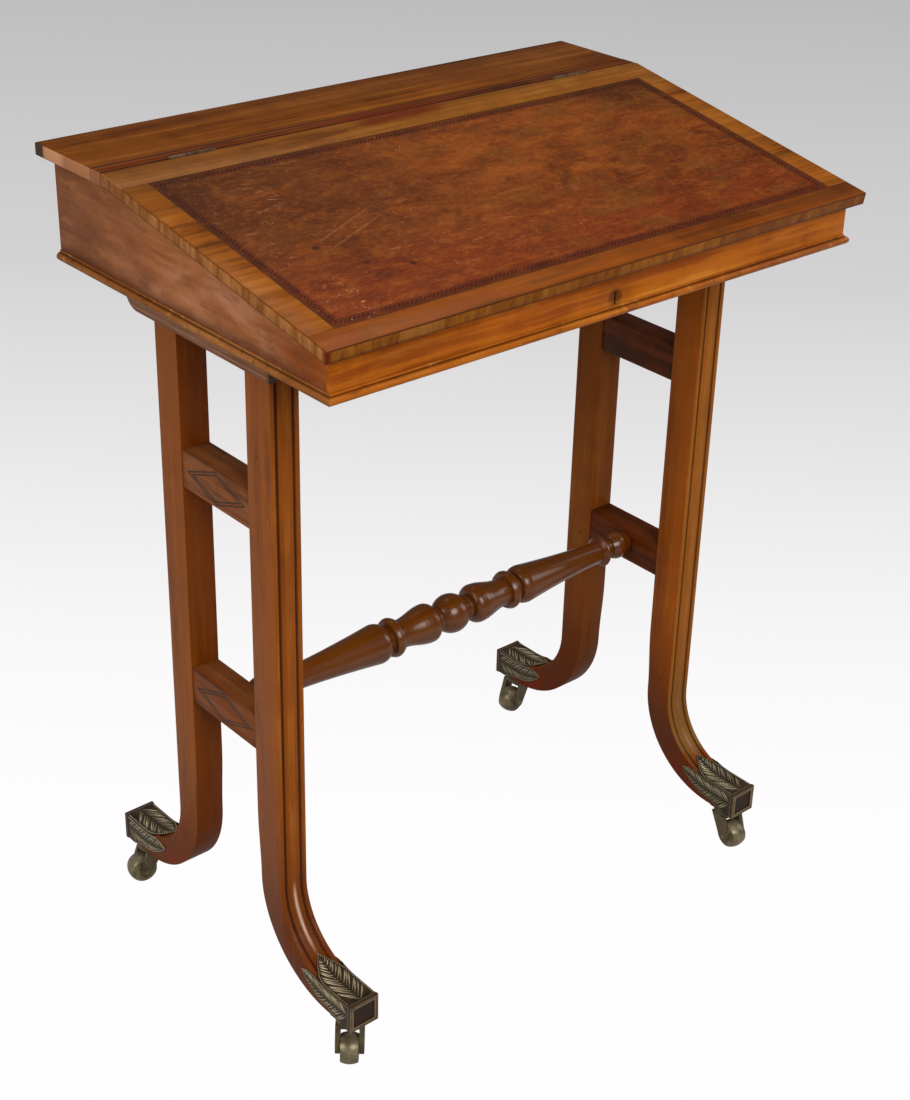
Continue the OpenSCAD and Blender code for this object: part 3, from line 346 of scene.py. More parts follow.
def reed_shadow(face):
    """Painted shade in the grooves of a reeded leg and worn crests, with painted highlights and
    sheen. Face is -1 for a front leg.
    """
    def marks(f):
        normal = f.facing()
        out = (-normal[1] if face < 0 else normal[1]) + normal[2]
        seen = out.rise(0.15, 0.5)
        side = (f.x.size() - LEG_X).size()
        worn = f.noise(f.x * 60.0, f.y * 60.0, f.z * 14.0, 3.0)
        # Painted shade in the grooves
        groove = side.between(0.0078, 0.0106, 0.0006) * seen
        f.lay(groove * (0.62 + worn * 0.4), 40, 18, 6)
        crest = side.between(0.0, 0.0030, 0.0014) * seen * worn.rise(0.35, 0.7)
        f.lay(crest * 0.30, 188, 116, 46)
        bead = side.near(0.0133, 0.0016) * seen * worn.rise(0.40, 0.66)
        f.lay(bead * 0.30, 184, 112, 46)
        low = f.z.fall(0.08, 0.24)
        f.lay(low * 0.62, 82, 38, 16)
        # The left trestle's outer faces carry a pale painted sheen, its rear leg's front face is a
        # deeper red
        left = f.x.fall(-0.1, 0.1)
        sheen_face = (-normal[0]).rise(0.5, 0.8) * (1.0 - low) * left
        smear = f.noise(f.x * 30.0, f.y * 60.0, f.z * 9.0, 4.0, 0.6)
        f.lay(sheen_face * 0.30, 136, 88, 58)
        f.lay(sheen_face * smear.rise(0.52, 0.70) * 0.45, 84, 50, 30)
        kept = (-normal[1]).rise(0.5, 0.8) * (left if face > 0 else 0.0)
        f.lay(kept * 0.40, 106, 42, 6)
        # The right trestle's front leg is olive in front and red at the side of its foot
        olive = (-normal[1]).rise(0.4, 0.7) * ((1.0 - left) if face < 0 else 0.0)
        f.lay(olive * (0.26 + low * 0.30), 128, 98, 44)
        blush = (-normal[0]).rise(0.5, 0.8) * f.z.fall(0.10, 0.30) * (1.0 - left)
        f.lay(blush * 0.45, 78, 28, 4)
        # A painted highlight along the middle reed above the toe cap, strongest on the left trestle
        rubbed_and_highlight = (side + (worn - 0.5) * 0.003).near(0.0, 0.0030) * seen * (0.35 + left * 0.65)
        rubbed_and_highlight = rubbed_and_highlight * f.z.between(0.096, 0.150, 0.010) * worn.rise(0.30, 0.55)
        f.lay(rubbed_and_highlight * 0.85, 210, 178, 156)
        red = f.z.fall(0.070, 0.100) * worn.rise(0.44, 0.62)
        f.lay(red * 0.50, 126, 30, 6)
        knocks = f.noise(f.x * 210.0, f.y * 210.0, f.z * 120.0, 2.0).rise(0.70, 0.76)
        f.lay(knocks * 0.45, 58, 28, 12)
    return marks


def side_marks(f):
    """Pale bloom, a dark lower edge, scratches and small knocks on the side boards."""
    bloom = f.noise(f.y * 9.0 + 2.0, f.z * 22.0, f.x * 3.0, 5.0, 0.62).rise(0.42, 0.62)
    middle = f.y.between(-0.15, 0.08, 0.06)
    rear = f.y.rise(0.02, 0.16)
    smear = f.noise(f.y * 22.0, f.z * 60.0, 8.0, 5.0, 0.64)
    near = (-f.y).rise(0.08, 0.19)
    f.lay(rear * 0.60, 104, 58, 28)
    f.lay(near * 0.80, 136, 64, 8)
    f.lay(bloom * middle * 0.62, 182, 126, 92)
    f.lay(smear.rise(0.50, 0.66) * 0.42, 92, 48, 20)
    f.lay(smear.fall(0.34, 0.48) * 0.38, 172, 106, 56)
    low = f.z.fall(MOULDING_TOP_Z - 0.001, MOULDING_TOP_Z + 0.012)
    f.lay(low * 0.5, 64, 32, 14)
    nicks = f.noise(f.y * 240.0, f.z * 240.0, 4.0, 2.0).rise(0.72, 0.78)
    f.lay(nicks * 0.6, 58, 30, 18)


def front_marks(f):
    """Wear and a dark rim round the keyhole, and a shadow under the lid."""
    high = f.z.rise(LID_UNDER_Z - 0.0095, LID_UNDER_Z + 0.0035)
    f.lay(high * 0.30, 88, 40, 10)
    round_hole = distance(f.x, f.z - KEYHOLE_Z)
    f.lay(round_hole.fall(0.0055, 0.011) * 0.75, 48, 24, 12)
    f.lay(round_hole.fall(0.012, 0.030) * 0.30, 104, 52, 14)
    pale = f.noise(f.x * 13.0, 1.0, f.z * 60.0, 3.0).rise(0.54, 0.72)
    f.lay(pale * 0.28, 186, 122, 52)
    nicks = f.noise(f.x * 230.0, 6.0, f.z * 260.0, 2.0).rise(0.71, 0.77)
    f.lay(nicks * 0.6, 70, 34, 10)


def moulding_marks(f):
    """Knocks along the bead, and the rough mend below the keyhole."""
    knocks = f.noise(f.x * 90.0, f.y * 90.0, f.z * 90.0, 3.0, 0.65)
    f.lay(knocks.rise(0.58, 0.72) * 0.55, 84, 40, 16)
    f.lay(knocks.fall(0.28, 0.42) * 0.40, 214, 150, 84)
    mend = f.x.near(0.012, 0.030) * knocks.rise(0.42, 0.60)
    f.lay(mend * 0.6, 88, 56, 34)
    # Painted shade in the quirk above the bead
    quirk = f.z.near(MOULDING_TOP_Z - 0.0021, 0.0011)
    f.lay(quirk * 0.65, 52, 24, 8)


def board_marks(f):
    """Dark streaks that run along the fixed board near its front, and its paler ends."""
    wander = f.noise(f.x * 5.0, 3.0, 1.0, 2.0) * 0.006
    worn = f.noise(f.x * 4.0, 7.0, 0.0, 3.0).rise(0.36, 0.6)
    streak = (f.y + wander).near(BOARD_Y + 0.0075, 0.0030) * worn
    f.lay(streak * 0.55, 62, 30, 8)
    front = f.y.fall(BOARD_Y + 0.0003, BOARD_Y + 0.0027)
    f.lay(front * 0.75, 54, 24, 8)
    rear = f.y.rise(REAR_Y - 0.0060, REAR_Y - 0.0001)
    f.lay(rear * 0.35, 60, 28, 8)
    f.lay(ends_of(f) * 0.62, 178, 124, 88)
    # The left end is bleached near the rear, and its rear corner has gone black
    left = f.x.fall(0.0001 - END_X, 0.0008 - END_X)
    ragged = f.y + (f.noise(f.x * 300.0, f.y * 300.0, f.z * 300.0, 2.0) - 0.5) * 0.004
    f.lay(left * ragged.between(REAR_Y - 0.048, REAR_Y - 0.016, 0.008) * 0.55, 206, 150, 112)
    near = f.x.fall(0.0010 - END_X, 0.0060 - END_X) * 0.5 + left * 0.4
    f.lay(ragged.rise(REAR_Y - 0.016, REAR_Y - 0.014) * near, 44, 34, 24)


def strip_marks(f):
    """Dark polish in the joints beside the hinge strip, a painted highlight line, and a red stain."""
    rear = f.y.rise(BOARD_Y - 0.0017, BOARD_Y - 0.0001)
    front = f.y.fall(STRIP_Y + 0.0005, STRIP_Y + 0.0019)
    f.lay((rear + front).held() * 0.80, 42, 18, 8)
    # A painted highlight line along the strip, broken in places
    rubbed_and_highlight = f.y.near(BOARD_Y - 0.0039, 0.0014) * f.noise(f.x * 9.0, 2.0, 0.0, 3.0).rise(0.38, 0.55)
    f.lay(rubbed_and_highlight * 0.45, 168, 104, 50)
    stain = f.x.between(-0.07, 0.05, 0.05) * f.noise(f.x * 14.0, f.y * 60.0, 0.0, 3.0).rise(0.30, 0.6)
    f.lay(stain * 0.65, 92, 26, 8)
    f.lay(ends_of(f) * 0.55, 168, 112, 76)


def land_marks(f):
    """The red stain that spreads from the hinge strip, and dark polish along the rear joint."""
    left = f.x.fall(-0.30, -0.12)
    f.lay(left * 0.42, 98, 58, 22)
    joint = f.y.rise(STRIP_Y - 0.0029, STRIP_Y - 0.0013)
    f.lay(joint * 0.75, 44, 20, 8)
    reach = f.noise(f.x * 16.0, 4.0, 0.0, 3.0) * 0.016
    spread = (f.y + reach).rise(LAND_Y - 0.006, LAND_Y + 0.004) * f.x.between(-0.05, 0.05, 0.02)
    f.lay(spread * 0.7, 96, 34, 12)
    crease = f.y.near(LAND_Y, 0.0012)
    f.lay(crease * 0.25, 84, 44, 16)
    f.lay(ends_of(f) * 0.4, 166, 112, 70)


def band_marks(f):
    """Dark polish where the crossbanding meets the leather, and dark knots in the corners."""
    side = f.x.size()
    seam = side.near(LEATHER_X, 0.0009)
    f.lay(seam * 0.6, 70, 40, 26)
    edge = side.rise(END_X - 0.0013, END_X - 0.0002)
    f.lay(edge * 0.35, 86, 44, 16)
    knot = f.noise(f.x * 12.0, f.y * 60.0, 2.0, 4.0).rise(0.52, 0.70)
    f.lay(knot * 0.55, 84, 48, 14)
    corners = f.y.rise(0.03, 0.08).most(f.y.fall(FRONT_Y + 0.008, FRONT_Y + 0.040))
    f.lay(corners * 0.45, 96, 58, 20)


def front_band_marks(f):
    """Greenish dark streaks of the front banding, its pieces, and its dark seams."""
    piece = f.scatter((f.x * 9.0 + 0.3).whole(), 1.0, 6.0)
    f.lay(piece * 0.22, 150, 82, 24)
    streak = f.noise(f.x * 12.0, f.y * 80.0, 2.0, 4.0).rise(0.50, 0.68)
    f.lay(streak * 0.45, 78, 50, 20)
    front = f.y.fall(FRONT_Y + 0.0004, FRONT_Y + 0.0014)
    seam = f.y.near(FRONT_Y + 0.0254, 0.0011).most(front)
    f.lay(seam * 0.60, 60, 28, 12)


def lid_marks(f):
    """Upright streaks of the veneer on the lid's front edge, its dark worn corner, its pale ends."""
    piece = f.scatter((f.x * 21.0 + 0.4).whole(), 2.0, 3.0)
    streaks = f.noise(f.x * 110.0, f.z * 30.0, 2.0, 4.0, 0.62)
    front = f.y.fall(FRONT_Y + 0.0035, FRONT_Y + 0.0060)
    tone = f.blend(streaks.rise(0.30, 0.70), linear(106, 54, 10), linear(140, 84, 22))
    tone = f.blend(piece.rise(0.45, 0.95) * 0.7, tone, linear(96, 44, 10))
    tone = f.blend(piece.near(0.2, 0.06) * 0.6, tone, linear(150, 98, 44))
    arris = f.z.rise(LID_TOP_Z - 0.0010, LID_TOP_Z - 0.0001)
    tone = f.blend(arris * 0.6, tone, linear(78, 26, 6))
    f.turn(front, tone)
    # A painted shadow line along the lower edge of the lid's front edge
    low = f.z.fall(LID_UNDER_Z, LID_UNDER_Z + 0.0030)
    f.lay(front * low * 0.7, 62, 24, 5)
    segment = f.scatter((f.y * 64.0).whole(), 5.0, 1.0)
    veneer = f.noise(f.y * 150.0, f.z * 22.0, 6.0, 4.0, 0.66) * 0.88 + segment * 0.12
    end = f.x.size().rise(END_X - 0.0010, END_X - 0.0001) * (1.0 - front)
    pale = f.blend(veneer.rise(0.34, 0.66), linear(116, 68, 26), linear(168, 112, 60))
    f.turn(end * 0.85, pale)
    # A painted shadow line along the lower edge of the lid's ends
    top = (f.y - LAND_Y).least(0.0) * math.tan(SLOPE) + TOP_Z
    under = (f.z - top).fall(-0.0122, -0.0104)
    f.lay(end * under * 0.7, 60, 28, 10)
    left = (f.x + END_X).fall(0.0010, 0.0055)
    corner = left * (f.y - FRONT_Y).fall(0.0010, 0.0055)
    f.lay(corner * 0.85, 92, 20, 5)


def bearer_marks(f):
    """Painted shade under the moulding and two pale worn lines along the bearer."""
    worn = f.noise(f.y * 20.0, f.z * 60.0, 3.0, 3.0).rise(0.34, 0.56)
    # Painted shade on the bearer just under the moulding
    f.lay(f.z.rise(CASE_UNDER_Z - 0.008, CASE_UNDER_Z + 0.001) * 0.6, 48, 26, 14)
    pale = f.z.near(CASE_UNDER_Z - 0.0095, 0.0016).most(f.z.near(BEARER_UNDER_Z + 0.0040, 0.0014))
    f.lay(pale * worn * 0.55, 172, 126, 94)
    nose = f.y.fall(FRONT_FACE_Y - 0.0005, FRONT_FACE_Y + 0.0055)
    f.lay(nose * 0.7, 40, 20, 12)


def turned_marks(f):
    """Painted shade in the narrow necks of the stretcher, and red wear at its thin ends."""
    out = distance(f.y - MIDDLE_Y, f.z - STRETCHER_Z)
    # Painted shade in the narrow necks
    neck = out.fall(0.0110, 0.0132) * f.x.size().fall(0.150, 0.165)
    f.lay(neck * 0.75, 38, 14, 2)
    red = f.noise(f.x * 20.0, f.y * 30.0, f.z * 30.0, 3.0).rise(0.46, 0.60)
    ends = f.x.size().rise(0.15, 0.24)
    f.lay(ends * red * 0.6, 104, 36, 4)


def leg_grain(name, face, seed, light=1.0):
    """The grain of one leg, made lighter or darker as a whole."""
    tones = [[value * light for value in tone]
             for tone in ((98, 46, 9), (134, 69, 16), (164, 94, 30))]
    return wood(name, "z", *tones, seed, figure=0.5, marks=reed_shadow(face))


WOODS = {
    "case_left_side": wood("left side board", "y", (106, 56, 24), (140, 80, 40), (162, 102, 58), 1,
                           marks=side_marks, painted_sheen=0.04),
    "case_right_side": wood("right side board", "y", (106, 56, 24), (140, 80, 40), (162, 102, 58), 2,
                            marks=side_marks),
    "case_front": wood("front board", "x", (136, 64, 8), (172, 92, 16), (204, 128, 44), 3,
                       marks=front_marks),
    "case_back": wood("back board", "x", (84, 44, 18), (116, 64, 28), (140, 84, 40), 4, gloss=0.5),
    "case_bottom": wood("bottom board", "x", (80, 46, 24), (112, 68, 38), (134, 90, 54), 5,
                        gloss=0.6, coat=0.0),
    "moulding_front": wood("front moulding", "x", (120, 58, 10), (168, 92, 22), (204, 128, 48), 6,
                           marks=moulding_marks),
    "moulding_left": wood("left moulding", "y", (92, 50, 20), (134, 80, 36), (170, 113, 60), 7,
                          marks=moulding_marks),
    "moulding_right": wood("right moulding", "y", (100, 56, 26), (142, 88, 46), (172, 116, 70), 8,
                           marks=moulding_marks),
    "top_board": wood("flat top board", "x", (74, 34, 5), (104, 54, 10), (130, 74, 20), 9,
                      marks=board_marks),
    "hinge_strip": wood("hinge strip", "x", (66, 26, 5), (98, 44, 11), (124, 62, 20), 10,
                        marks=strip_marks),
    "lid_panel": wood("lid panel", "x", (88, 42, 14), (124, 68, 28), (150, 92, 44), 11,
                      marks=lid_marks),
    "lid_front_banding": wood("front banding", "x", (88, 39, 6), (118, 57, 10), (144, 79, 21), 12,
                              marks=front_band_marks),
    "lid_rear_banding": wood("rear banding", "x", (90, 48, 12), (124, 73, 21), (150, 96, 36), 13,
                             marks=land_marks),
    "lid_left_banding": wood("left banding", "x", (88, 42, 8), (134, 73, 16), (160, 98, 32), 14,
                             figure=0.9, marks=band_marks),
    "lid_right_banding": wood("right banding", "x", (88, 44, 8), (132, 74, 18), (158, 96, 32), 15,
                              figure=0.9, marks=band_marks),
    "left_bearer": wood("left bearer", "y", (70, 42, 25), (106, 68, 43), (136, 95, 66), 16,
                        painted_sheen=0.07, marks=bearer_marks),
    "right_bearer": wood("right bearer", "y", (60, 30, 12), (90, 48, 20), (112, 64, 30), 17),
    "left_front_leg": leg_grain("left front leg", -1, 18),
    "right_front_leg": leg_grain("right front leg", -1, 19, 1.12),
    "left_rear_leg": leg_grain("left rear leg", 1, 20, 0.96),
    "right_rear_leg": leg_grain("right rear leg", 1, 21, 0.86),
    "left_upper_rail": wood("left upper rail", "y", (88, 46, 16), (126, 70, 28), (152, 92, 44), 22,
                            painted_sheen=0.06),
    "left_lower_rail": wood("left lower rail", "y", (80, 38, 10), (112, 58, 20), (138, 80, 34), 23,
                            painted_sheen=0.03),
    "right_upper_rail": wood("right upper rail", "y", (66, 32, 14), (96, 47, 21), (122, 66, 32), 24),
    "right_lower_rail": wood("right lower rail", "y", (64, 28, 6), (94, 42, 10), (122, 62, 20), 25),
    "stretcher": wood("turned stretcher", "x", (72, 33, 2), (98, 50, 4), (122, 70, 12), 26,
                      figure=0.35, gloss=0.22, coat=1.0, polish=0.24, marks=turned_marks),
}

# Writing leather


def hide_clouds(f, x, up):
    """Clouds drawn out along the desk, redder in front."""
    cloud = f.noise(x * 9.0, up * 16.0, 1.0, 6.0, 0.66, 0.7)
    patch = f.noise(x * 3.4 + 5.0, up * 5.5, 4.0, 3.0, 0.6, 0.5)
    streak = f.noise(x * 26.0, up * 92.0, 3.0, 5.0, 0.7, 0.5)
    speck = f.noise(x * 260.0, up * 330.0, 5.0, 3.0, 0.7)
    f.colour = f.blend(cloud.rise(0.34, 0.60), linear(82, 35, 8), linear(116, 55, 12))
    f.lay(patch.rise(0.46, 0.68) * 0.85, 130, 64, 14)
    gold = x.between(-0.06, 0.16, 0.10) * up.between(0.14, 0.27, 0.05)
    f.lay(gold * 0.35 * cloud.rise(0.36, 0.58), 146, 76, 20)
    near = up.fall(0.05, 0.16)
    f.lay(near * 0.55, 112, 40, 12)
    f.lay(streak.rise(0.50, 0.66) * 0.34, 64, 25, 5)
    f.lay(streak.fall(0.34, 0.48) * 0.26, 160, 84, 20)
    f.lay(speck.rise(0.50, 0.64) * 0.20, 66, 28, 6)
    f.lay(speck.fall(0.34, 0.46) * 0.16, 156, 84, 22)
    return cloud, streak


def hide_damp(f, x, up, corner, cloud):
    """Grey-brown damp marks toward the rear left corner, olive patches and a fine mottle."""
    damp = f.noise(x * 10.0, up * 14.0, 8.0, 4.0, 0.65)
    f.lay(corner * damp.rise(0.36, 0.58) * 0.80, 60, 33, 15)
    left = x.fall(-0.26, 0.02) * up.rise(0.06, 0.24)
    f.lay(left * (0.25 + cloud.rise(0.36, 0.60) * 0.6), 72, 38, 12)
    mottle = f.noise(x * 30.0, up * 52.0, 4.0, 5.0, 0.62, 0.6)
    f.lay(mottle.rise(0.50, 0.66) * 0.30, 68, 32, 6)
    f.lay(mottle.fall(0.32, 0.48) * 0.24, 150, 84, 20)
    olive = f.noise(x * 17.0 + 9.0, up * 26.0, 2.0, 4.0, 0.6, 0.5).rise(0.48, 0.64)
    f.lay(olive * x.rise(-0.16, 0.08) * 0.42, 96, 60, 18)
    grain = f.noise(x * 130.0, up * 190.0, 3.0, 3.0, 0.6)
    f.lay(grain.rise(0.52, 0.66) * 0.26, 70, 28, 5)
    f.lay(grain.fall(0.34, 0.46) * 0.20, 152, 82, 24)
    f.lay(damp.rise(0.60, 0.76) * 0.40, 66, 29, 10)


def hide_spots(f, x, up):
    """Ink spots here and there, and one blot near the left end."""
    spots = f.cells(x * 21.0, up * 27.0, 2.0)
    rarely = f.noise(x * 9.0 + 2.0, up * 9.0, 7.0, 2.0).rise(0.44, 0.56)
    f.lay(spots.fall(0.06, 0.13) * rarely * 0.75, 48, 20, 10)
    blot = distance(x + 0.176, up - 0.084)
    f.lay(blot.fall(0.0018, 0.0046) * 0.8, 44, 18, 10)


def hide_scuffs(f, x, up):
    """Pale scratches in several directions, thickest toward the left, and rubbed places."""
    bend = f.noise(x * 12.0, up * 12.0, 3.0, 2.0) * 0.02
    first = f.noise((x + up * 0.8 + bend) * 46.0, (x - up + bend * 2.0) * 400.0, 0.0, 3.0, 0.6)
    second = f.noise((x + bend) * 40.0, (up + x * 0.15 + bend) * 520.0, 5.0, 2.0, 0.5)
    third = f.noise((up + bend) * 60.0, (x + up * 0.3) * 520.0, 9.0, 2.0, 0.5)
    where = f.noise(x * 13.0 + 3.0, up * 15.0, 6.0, 4.0, 0.66)
    leftward = 1.0 - x.rise(-0.18, 0.20) * 0.55
    chipped = f.noise(x * 190.0, up * 230.0, 2.0, 3.0, 0.6)
    scuff = (first.rise(0.66, 0.74) + second.rise(0.65, 0.73) + third.rise(0.68, 0.75)).held()
    scuff = scuff * where.rise(0.46, 0.64) * leftward * chipped.rise(0.30, 0.52)
    chips = chipped.rise(0.66, 0.74) * where.rise(0.40, 0.60) * leftward
    # The left edge is rubbed the most, toward the front
    border = (x + LEATHER_X).between(0.010, 0.052, 0.012) * up.fall(0.10, 0.17)
    chips = (chips + border * chipped.rise(0.60, 0.70) * where.rise(0.34, 0.54)).held()
    rubbed_and_highlight = f.noise(x * 34.0, up * 120.0, 7.0, 4.0, 0.65).rise(0.56, 0.70)
    rubbed_and_highlight = rubbed_and_highlight * (where.rise(0.46, 0.66) * leftward + border * 0.6).held()
    f.lay(rubbed_and_highlight * 0.42, 176, 98, 60)
    f.lay(scuff * 0.62, 198, 134, 96)
    f.lay(chips * 0.72, 206, 146, 110)
    # Two long slanting scratches near the left end
    for start in (0.0, 0.016):
        line = (up - 0.150 - start - (x + 0.185) * 0.42).near(0.0, 0.0011)
        line = line * x.between(-0.225, -0.150, 0.006) * chipped.rise(0.36, 0.56)
        f.lay(line * 0.42, 176, 114, 70)
    return scuff


def hide_border(f, x, up, side, lengthways):
    """The tooled border: a rolled band of scallops between two lines."""
    edge = side.least(lengthways)
    across = side.below(lengthways)
    run = up * across + x * (1.0 - across)
    beads = (run * (math.tau / 0.0046)).wave() * 0.5 + 0.5
    outer = edge.near(0.0036, 0.0009)
    inner = edge.near(0.0102, 0.0009)
    middle = edge.between(0.0048, 0.0090, 0.0007)
    scallop = (edge - 0.0069 + (beads - 0.5) * 0.0026).size().rise(0.0003, 0.0014)
    stain = edge.between(0.0022, 0.0120, 0.0020)
    broken = f.noise(x * 38.0, up * 38.0, 9.0, 3.0).rise(0.30, 0.48)
    f.lay(stain * 0.40, 84, 32, 14)
    tool = (outer + inner * 0.7 + middle * (1.0 - scallop) + middle * 0.16).held()
    tool = tool * (0.35 + broken * 0.65)
    f.lay(tool * 0.88, 38, 14, 8)
    f.lay(edge.fall(0.0010, 0.0032) * 0.75, 58, 32, 14)
    return tool


def leather():
    """Worn hide: clouded brown, redder in front, scuffed pale, with a tooled border."""
    f = Finish("writing leather")
    x = f.x
    up = (f.y - FRONT_Y) * (1.0 / math.cos(SLOPE))
    side = LEATHER_X - x.size()
    rear = (SLOPE_LENGTH - REAR_BAND) - up
    cloud, streak = hide_clouds(f, x, up)
    hide_damp(f, x, up, (side * 0.8 + rear * 1.2).fall(0.03, 0.16), cloud)
    hide_spots(f, x, up)
    scuff = hide_scuffs(f, x, up)
    tool = hide_border(f, x, up, side, (up - FRONT_BAND).least(rear))
    pebble = f.cells(x * 700.0, up * 700.0, 0.0)
    rough = 0.46 + cloud * 0.10 + scuff * 0.2
    height = pebble * 0.10 + cloud * 0.4 + streak * 0.3 - tool * 0.9 - scuff * 0.25
    return f.surface(rough, height, 0.00035, specular=0.08)


# Metal and inlay


def old_metal(name, dark, mid, bright, seed, wear=0.5, rough=0.42, metal=0.35, marks=None):
    """Cast brass under a brown skin, rubbed where it stands proud."""
    f = Finish(name)
    cloud = f.noise(f.x * 60.0 + seed, f.y * 60.0, f.z * 60.0, 4.0, 0.6)
    fine = f.noise(f.x * 520.0, f.y * 520.0, f.z * 520.0 + seed, 3.0, 0.6)
    f.colour = f.blend(cloud.rise(0.25, 0.62), linear(*dark), linear(*mid))
    f.lay((cloud * 0.35 + fine * 0.65).rise(0.50, 0.72) * wear, *bright)
    pits = fine.fall(0.28, 0.40)
    f.turn(pits * 0.5, deeper(linear(*dark), 0.5))
    if marks is not None:
        marks(f)
    return f.surface(rough + (cloud - 0.5) * 0.2, cloud * 0.4 + fine * 0.5, 0.00010,
                     metal=metal, specular=0.4)


def cap_marks(f):
    """The end of a toe cap: a dark rim with thin rubbed borders round a darker sunk panel."""
    out = (f.y - MIDDLE_Y).size() - CAP_END
    side = (f.x.size() - LEG_X).size()
    rise = (f.z - (CAP_TOP_Z + CAP_UNDER_Z) / 2).size()
    end_on = f.facing()[1].size().rise(0.5, 0.8)
    worn = f.noise(f.x * 150.0, f.y * 150.0, f.z * 150.0, 3.0).rise(0.35, 0.65)
    f.lay(out.rise(-0.0041, -0.0036) * 0.85, 74, 52, 34)
    within = (side - (CAP_HALF - CAP_RIM)).most(rise - ((CAP_TOP_Z - CAP_UNDER_Z) / 2 - CAP_RIM))
    face = out.rise(-0.0017, -0.0013) * end_on
    rim = face * within.rise(0.0, 0.0004)
    f.turn(rim * 0.8, f.blend(worn, linear(92, 72, 48), linear(124, 104, 74)))
    panel = within.fall(-0.0008, 0.0)
    f.lay(panel * out.rise(-0.0023, -0.0019), 50, 31, 12)
    border = within.near(0.0006, 0.0007) * face
    rear_line = out.near(-0.0037, 0.0005) * (1.0 - end_on)
    corner = (side - CAP_HALF).near(0.0, 0.0006) * face
    f.lay((border + rear_line * 0.8 + corner * 0.4).held() * 0.8, 172, 150, 114)


def leaf_marks(f):
    """Painted highlight on the crests of the leaves, painted shade on their flanks, and dark patina
    in the hollows.
    """
    crest = f.own("crest")
    # Everything below the crests is darkened, so the pale crests read as a painted highlight
    f.lay(crest.fall(0.22, 0.60), 128, 113, 84)
    # Darkest low down and on the far flank: painted shade, with patina in the hollows
    f.lay(crest.fall(0.03, 0.24) * 0.85, 52, 42, 26)
    f.lay(f.x.rise(-0.1, 0.1) * 0.25, 60, 58, 42)


def inlay():
    """The dark lines let into the rails."""
    f = Finish("dark stringing")
    tone = f.noise(f.x * 30.0, f.y * 30.0, f.z * 30.0, 3.0)
    f.colour = f.blend(tone, linear(26, 14, 10), linear(54, 30, 20))
    return f.surface(0.45, tone, 0.0001)


cap_brass = old_metal("cap brass", (44, 35, 22), (64, 52, 36), (112, 96, 70), 1.0,
                      wear=0.35, rough=0.46, marks=cap_marks)
leaf_brass = old_metal("leaf brass", (150, 134, 104), (198, 182, 148), (236, 224, 194), 4.0,
                       wear=0.60, rough=0.34, marks=leaf_marks)
fork_brass = old_metal("fork brass", (66, 56, 36), (96, 84, 58), (138, 124, 92), 5.0,
                       wear=0.45, rough=0.38)
wheel_brass = old_metal("wheel brass", (82, 72, 50), (134, 121, 94), (204, 192, 162), 2.0,
                        rough=0.36, metal=0.45)
hinge_brass = old_metal("hinge brass", (50, 30, 14), (84, 54, 28), (190, 160, 128), 6.0,
                        wear=0.3, rough=0.5, metal=0.15)
lock_brass = old_metal("lock brass", (92, 72, 40), (146, 120, 70), (200, 172, 112), 3.0)
leather_material = leather()
inlay_material = inlay()


def give(thing, material):
    """Puts one material on a whole piece."""
    thing.data.materials.clear()
    thing.data.materials.append(material)
    for face in thing.data.polygons:
        face.material_index = 0


def metal_of(node):
    """The brass that a metal piece is cast from."""
    if node.endswith(("_wheel", "_axle")):
        return wheel_brass
    if node.endswith("_fork"):
        return fork_brass
    if node.endswith("_toe_cap") or node == "toe_cap_pins":
        return cap_brass
    if "hinge" in node:
        return hinge_brass
    return lock_brass


for node, thing in nodes.items():
    if node in WOODS:
        give(thing, WOODS[node])
    elif node == "writing_leather":
        give(thing, leather_material)
    elif node.endswith("stringing"):
        give(thing, inlay_material)
    else:
        give(thing, metal_of(node))

# Boards and legs with their edges eased

bodies = {node: body for body, members in frame["record"]["behaviour"]["bodies"].items()
          for node in members}


def only(thing):
    """Selects one object and nothing else."""
    if bpy.context.object is not None and bpy.context.object.mode != "OBJECT":
        bpy.ops.object.mode_set(mode="OBJECT")
    bpy.ops.object.select_all(action="DESELECT")
    thing.select_set(True)
    bpy.context.view_layer.objects.active = thing


def softened(node, width):
    """A copy of a CAD piece with its sharp edges eased, as old polished wood has them."""
    piece = bpy.data.objects.new(node + "_eased", nodes[node].data.copy())
    bpy.context.collection.objects.link(piece)
    only(piece)
    bpy.ops.object.mode_set(mode="EDIT")
    bpy.ops.mesh.select_all(action="SELECT")
    bpy.ops.mesh.remove_doubles(threshold=0.000002)
    bpy.ops.mesh.dissolve_limited(angle_limit=math.radians(0.5))
    bpy.ops.mesh.normals_make_consistent(inside=False)
    bpy.ops.object.mode_set(mode="OBJECT")
    ease = piece.modifiers.new("ease", "BEVEL")
    ease.width = width
    ease.segments = 2
    ease.limit_method = "ANGLE"
    ease.angle_limit = math.radians(32)
    bpy.ops.object.modifier_apply(modifier=ease.name)
    bpy.ops.object.shade_smooth_by_angle(angle=math.radians(38))
    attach(piece, bodies[node])
    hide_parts(node)


# How wide each piece's sharp edges are eased
EASES = {
    "case_left_side": 0.0007, "case_right_side": 0.0007, "case_front": 0.0005,
    "case_back": 0.0007, "case_bottom": 0.0005, "moulding_front": 0.0003,
    "moulding_left": 0.0003, "moulding_right": 0.0003, "top_board": 0.0011,
    "hinge_strip": 0.0004, "lid_panel": 0.0006, "lid_front_banding": 0.0004,
    "lid_rear_banding": 0.0003, "lid_left_banding": 0.0003, "lid_right_banding": 0.0003,
    "left_bearer": 0.0010, "right_bearer": 0.0010,
    "left_upper_rail": 0.0006, "left_lower_rail": 0.0006,
    "right_upper_rail": 0.0006, "right_lower_rail": 0.0006,
    "left_front_leg": 0.0005, "right_front_leg": 0.0005,
    "left_rear_leg": 0.0005, "right_rear_leg": 0.0005,
}

for node, width in EASES.items():
    softened(node, width)

# Cast leaves on the toe caps

